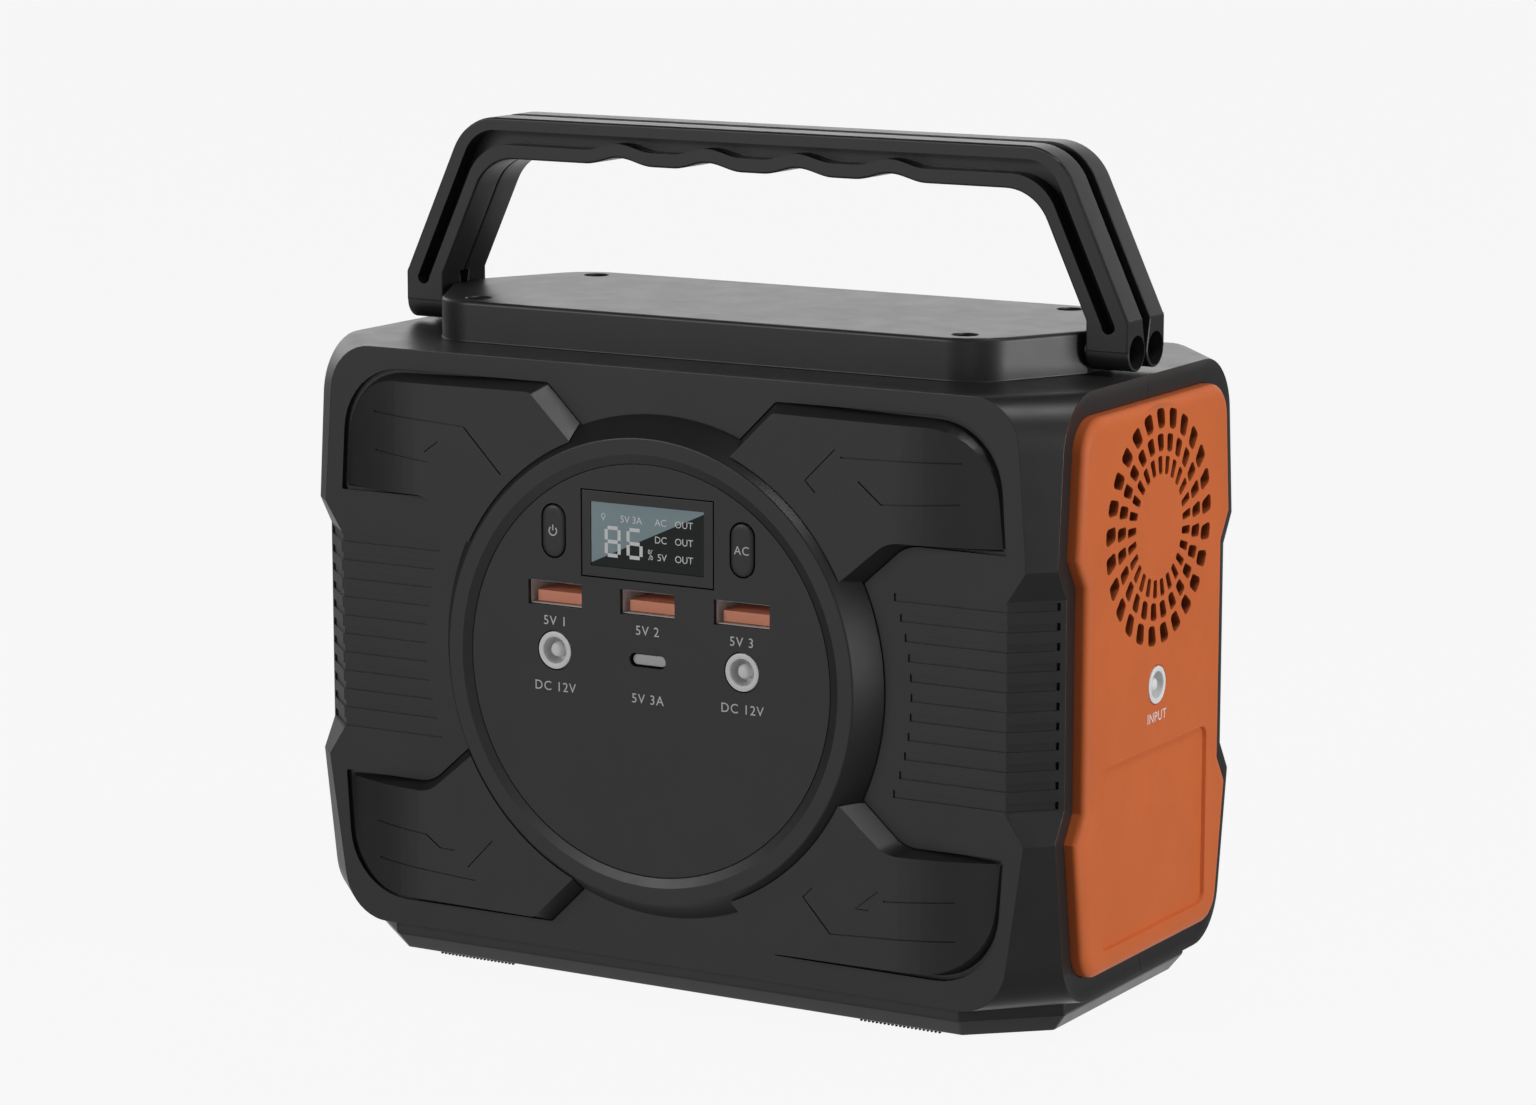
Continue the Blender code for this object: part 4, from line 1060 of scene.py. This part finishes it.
piece(face_panel(), PANEL, replaces=["control_panel"])
piece(rear_face(), PANEL, replaces=["rear_cover"])
piece(screen_frame(), PANEL, replaces=["display_frame"])
pane = rectangle(27.9, 13.7, (0.0, DISPLAY_Z))
piece(recessed("screen", pane, -50.7, SCREEN_Y, 0.05), GLASS, replaces=["display_window"])
for tag, x in (("power", -BUTTON_X), ("ac", BUTTON_X)):
    piece(key(tag + "_key", x), PANEL, tag + "_button", replaces=[tag + "_button"], smooth=40.0)
for tag, x in zip(("left", "middle", "right"), USB_A_X):
    tag = "usb_a_" + tag
    piece(usb_a(tag + "_mouth", x), NICKEL, replaces=[tag + "_shell"])
    tongue = recessed(tag + "_blade", rectangle(11.2, 2.4, (x, USB_Z - 1.0)), -38.7, -49.9, 0.15)
    piece(tongue, TONGUE, replaces=[tag + "_tongue"])
low_middle = (0.0, LOW_ROW_Z)
mouth = recessed("usb_c_mouth", stadium(8.7, 2.7, low_middle), -41.0, -PANEL_Y + 0.3, 0.06)
cut(mouth, prism("usb_c_hollow", stadium(8.3, 2.3, low_middle), "Y", BEFORE_FACE, -42.0))
piece(mouth, NICKEL, replaces=["usb_c_shell"])
blade = recessed("usb_c_blade", stadium(8.22, 2.22, low_middle), -42.3, -50.95, 0.06)
piece(blade, GREY, replaces=["usb_c_tongue"])
sockets = (
    ("dc_jack_left", "Y", (-DC_X, 0.0, LOW_ROW_Z), -PANEL_Y, -37.5),
    ("dc_jack_right", "Y", (DC_X, 0.0, LOW_ROW_Z), -PANEL_Y, -37.5),
    ("input_jack", "X", (0.0, 0.0, INLET_Z), PANEL_X, 80.0),
)
for tag, axis, centre, face, back in sockets:
    socket = ring_socket(tag + "_socket", axis, centre, face, back)
    piece(socket, WHITE, replaces=[tag + "_barrel"])
    contact = socket_pin(tag + "_contact", axis, centre, face, back)
    piece(contact, WHITE, slot="nickel", replaces=[tag + "_pin"])


# ---- markings

INK_LIFT = 0.015
CAP_SHARE = 0.729  # height of a capital letter over the font's size
LABEL = {"cap": 2.1, "gap": 1.12}
FRONT_TURN = Matrix.Rotation(math.pi / 2, 4, "X")
RIGHT_TURN = Matrix.Rotation(math.pi / 2, 4, "Z") @ FRONT_TURN


def write(made, text, centre, cap, turn=FRONT_TURN, wide=1.0, gap=1.0):
    """Adds flat lettering of a cap height in mm, centred on a point."""
    font = bpy.data.curves.new("lettering", "FONT")
    font.body = text
    font.size = cap / CAP_SHARE
    font.space_character = gap
    font.align_x = "CENTER"
    font.extrude = INK_LIFT
    font.resolution_u = 3
    holder = bpy.data.objects.new("lettering", font)
    scene.collection.objects.link(holder)
    bpy.context.view_layer.update()
    graph = bpy.context.evaluated_depsgraph_get()
    mesh = bpy.data.meshes.new_from_object(holder.evaluated_get(graph))
    centring = Matrix.Translation((0.0, -cap / 2, 0.0))
    mesh.transform(Matrix.Diagonal((wide, 1.0, 1.0, 1.0)) @ centring)
    mesh.transform(Matrix.Scale(MM, 4) @ Matrix.Translation(Vector(centre)) @ turn)
    made.from_mesh(mesh)
    bpy.data.objects.remove(holder, do_unlink=True)


def stroke(made, points, width, y):
    """Adds a flat line along (x, z) points, just proud of the face at depth y."""
    low, high = y + INK_LIFT, y - INK_LIFT
    rings = []
    for a, b in beside([Vector(p) for p in points], width / 2):
        rings.append([(a.x, low, a.y), (b.x, low, b.y), (b.x, high, b.y), (a.x, high, a.y)])
    add_rings(made, rings)


def seven_segments(made, lit, centre, y):
    """A seven-segment digit; its strokes are a to f clockwise from the top, and g in the middle."""
    width, height, thick = DIGIT_SIZE
    w, h, gap = width / 2, height / 2, thick * 0.6
    ends = {name: ((-w + gap, z), (w - gap, z)) for name, z in (("a", h), ("g", 0), ("d", -h))}
    ends.update({name: ((x, h - gap), (x, gap)) for name, x in (("f", -w), ("b", w))})
    ends.update({name: ((x, -gap), (x, -h + gap)) for name, x in (("e", -w), ("c", w))})
    for name in lit:
        a, b = (Vector(p) + Vector(centre) for p in ends[name])
        along = (b - a).normalized()
        stroke(made, [tuple(a - along * 0.12), tuple(b + along * 0.12)], thick, y)


def printed(name, made, material, body="casing"):
    piece(solid(name, made), material, body, "white_plastic")


ink = bmesh.new()
for x, text in zip(USB_A_X, ("5V 1", "5V 2", "5V 3")):
    write(ink, text, (x, -PANEL_Y, 82.1), **LABEL)
for x in (-DC_X, DC_X):
    write(ink, "DC 12V", (x, -PANEL_Y, 67.8), **LABEL)
write(ink, "5V 3A", (0.0, -PANEL_Y, 67.4), **LABEL)
printed("panel_markings", ink, INK)

side_ink = bmesh.new()
write(side_ink, "INPUT", (PANEL_X, 0.0, 64.4), 2.2, RIGHT_TURN, gap=1.1)
printed("inlet_marking", side_ink, WHITE)

power_mark = bmesh.new()
arc = [math.radians(a) for a in range(128, 413, 12)]
arc = [(-BUTTON_X + 0.95 * math.cos(a), BUTTON_Z + 0.95 * math.sin(a)) for a in arc]
bar = [(-BUTTON_X, BUTTON_Z + 1.35), (-BUTTON_X, BUTTON_Z + 0.1)]
for line in (arc, bar):
    stroke(power_mark, line, 0.27, -KEY_FACE)
printed("power_marking", power_mark, INK, "power_button")
ac_mark = bmesh.new()
write(ac_mark, "AC", (BUTTON_X, -KEY_FACE, BUTTON_Z), 1.9, gap=1.1)
printed("ac_marking", ac_mark, INK, "ac_button")

lit = bmesh.new()
for strokes, x in (("abcdefg", -8.6), ("afgedc", -3.15)):
    seven_segments(lit, strokes, (x, DISPLAY_Z - 1.4), SCREEN_Y)
write(lit, "%", (0.75, SCREEN_Y, DISPLAY_Z - 3.3), 2.3, wide=0.62)
for text, x, z in (
    ("5V 3A", -4.0, 3.7), ("AC", 3.3, 3.7), ("OUT", 9.0, 3.7),
    ("DC", 3.3, 0.0), ("OUT", 9.0, 0.0), ("5V", 3.6, -3.7), ("OUT", 9.0, -3.7),
):
    write(lit, text, (x, SCREEN_Y, DISPLAY_Z + z), 1.55)
lamp_x, lamp_z = -10.9, DISPLAY_Z + 4.0
turns = [2 * math.pi * k / 12 for k in range(13)]
bulb = [(lamp_x + 0.45 * math.cos(a), lamp_z + 0.5 * math.sin(a)) for a in turns]
stroke(lit, bulb, 0.16, SCREEN_Y)
stroke(lit, [(lamp_x, DISPLAY_Z + 3.5), (lamp_x, DISPLAY_Z + 3.0)], 0.3, SCREEN_Y)
printed("screen_segments", lit, LIT)


# ---- CAD nodes that stay

KEPT = (
    (GREY, ["display_module", "power_switch", "ac_switch", "battery_cradle", "transformer"]),
    (CHARCOAL, ["fan_frame", "fan_rotor"]),
    (STEEL, [f"plate_screw_{a}_{b}" for a in ("front", "rear") for b in ("left", "right")]),
    (STEEL, [f"case_screw_{a}_{b}" for a in ("lower", "upper") for b in ("left", "right")]),
    (BOARD, ["control_board", "bms_board", "inverter_board"]),
    (WRAP, ["battery_pack"]),
    (ALUMINIUM, ["heat_sink"]),
)
for material, names in KEPT:
    for name in names:
        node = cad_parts[name]
        node.data.materials.clear()
        node.data.materials.append(material)
        node.data.shade_smooth()
        node.data.set_sharp_from_angle(angle=math.radians(35))


# ---- stage, light and camera

def pale_floor():
    """A paper floor that glows evenly and lends the object no light, reflection or shadow."""
    floor = bpy.data.meshes.new("floor")
    size = 30.0
    corners = [(-size, -size, 0), (size, -size, 0), (size, size, 0), (-size, size, 0)]
    floor.from_pydata(corners, [], [(0, 1, 2, 3)])
    obj = bpy.data.objects.new("floor", floor)
    scene.collection.objects.link(obj)
    made, tree, shader = tree_of("floor_paper")
    feed(tree, shader, {
        "Base Color": tint(tree, spread(tree, noise(tree, 30.0)), (0.03,) * 3, (0.032,) * 3),
        "Roughness": 1.0,
        "Specular IOR Level": 0.0,
        "Emission Color": (1.0, 1.0, 1.0, 1.0),
        "Emission Strength": 0.92,
    })
    obj.visible_diffuse = False
    obj.visible_glossy = False
    obj.visible_shadow = False
    floor.materials.append(made)


def sky_ramp(tree, along, stops):
    """Brightness along one axis of the direction, from its minus end at 0 to its plus end at 1."""
    curve = add_node(tree, "FloatCurve", {"Value": spread(tree, along, 0.0, 1.0, -1.0, 1.0)})
    curve.mapping.extend = "HORIZONTAL"
    points = curve.mapping.curves[0].points
    for place, level in stops[1:-1]:
        points.new(place, level)
    for point, (place, level) in zip(points, stops):
        point.location = (place, level)
        point.handle_type = "VECTOR"
    curve.mapping.update()
    return curve.outputs["Value"]


SKY = (  # (upwards, to the right) for the half in front, then for the half behind
    (
        ((0.0, 0.18), (0.2, 0.16), (0.38, 0.1), (0.5, 0.16),
         (0.6, 0.12), (0.75, 0.03), (1.0, 0.02)),
        ((0.0, 0.1), (0.06, 0.15), (0.24, 1.0), (0.4, 1.0), (0.75, 0.4), (1.0, 0.4)),
    ),
    (
        ((0.0, 0.3), (0.28, 0.6), (0.42, 0.06), (0.53, 0.3),
         (0.57, 1.0), (0.65, 0.85), (0.75, 0.06), (1.0, 0.03)),
        ((0.0, 1.0), (0.4, 1.0), (0.7, 0.25), (1.0, 0.25)),
    ),
)
SKY_STRENGTH = 2.3


def studio_world():
    """A studio that is pale low down in front, bright over the horizon behind and dark overhead."""
    world = bpy.data.worlds.new("studio")
    world.use_nodes = True
    scene.world = world
    tree = world.node_tree
    parts = split(tree, coordinates(tree, "Generated"))
    halves = []
    for up, right in SKY:
        ramps = sky_ramp(tree, parts["Z"], up), sky_ramp(tree, parts["X"], right)
        halves.append(arithmetic(tree, "MULTIPLY", *ramps))
    front, back = halves
    turn = spread(tree, parts["Y"], 0.0, 1.0, -0.2, 0.5)
    mixed = add_node(tree, "Mix", {"Factor": turn, "A": front, "B": back}).outputs["Result"]
    feed(tree, tree.nodes["Background"], {
        "Color": (1.0, 1.0, 1.0, 1.0),
        "Strength": arithmetic(tree, "MULTIPLY", mixed, SKY_STRENGTH),
    })


AIM = (0.0, 0.0, 0.07)
LIGHTS = (  # name, place, width, height, watts
    ("front_left", (-0.7, -1.25, -0.25), 0.75, 1.45, 2.0),
    ("front_high", (-0.78, -1.26, 0.6), 0.6, 0.25, 5.3),
    ("front_right", (0.62, -1.4, 0.0), 0.35, 0.9, 0.8),
    ("right", (1.48, 0.1, 0.2), 0.5, 0.6, 10.4),
    ("overhead_right", (0.6, -0.06, 1.2), 0.4, 0.4, 4.2),
)


def aimed(name, data, place, aim):
    obj = bpy.data.objects.new(name, data)
    obj.location = place
    obj.rotation_euler = (Vector(aim) - Vector(place)).to_track_quat("-Z", "Y").to_euler()
    scene.collection.objects.link(obj)
    return obj


pale_floor()
studio_world()
for name, place, width, height, power in LIGHTS:
    light = bpy.data.lights.new(name, "AREA")
    light.shape = "RECTANGLE"
    light.size = width
    light.size_y = height
    light.energy = power
    aimed(name, light, place, AIM)

lens = bpy.data.cameras.new("camera")
lens.lens = 109.49
lens.sensor_width = 36.0
scene.camera = aimed("camera", lens, (0.50974, -0.87186, 0.27442), (-0.00093, 0.0, 0.09068))
scene.view_settings.view_transform = "Standard"
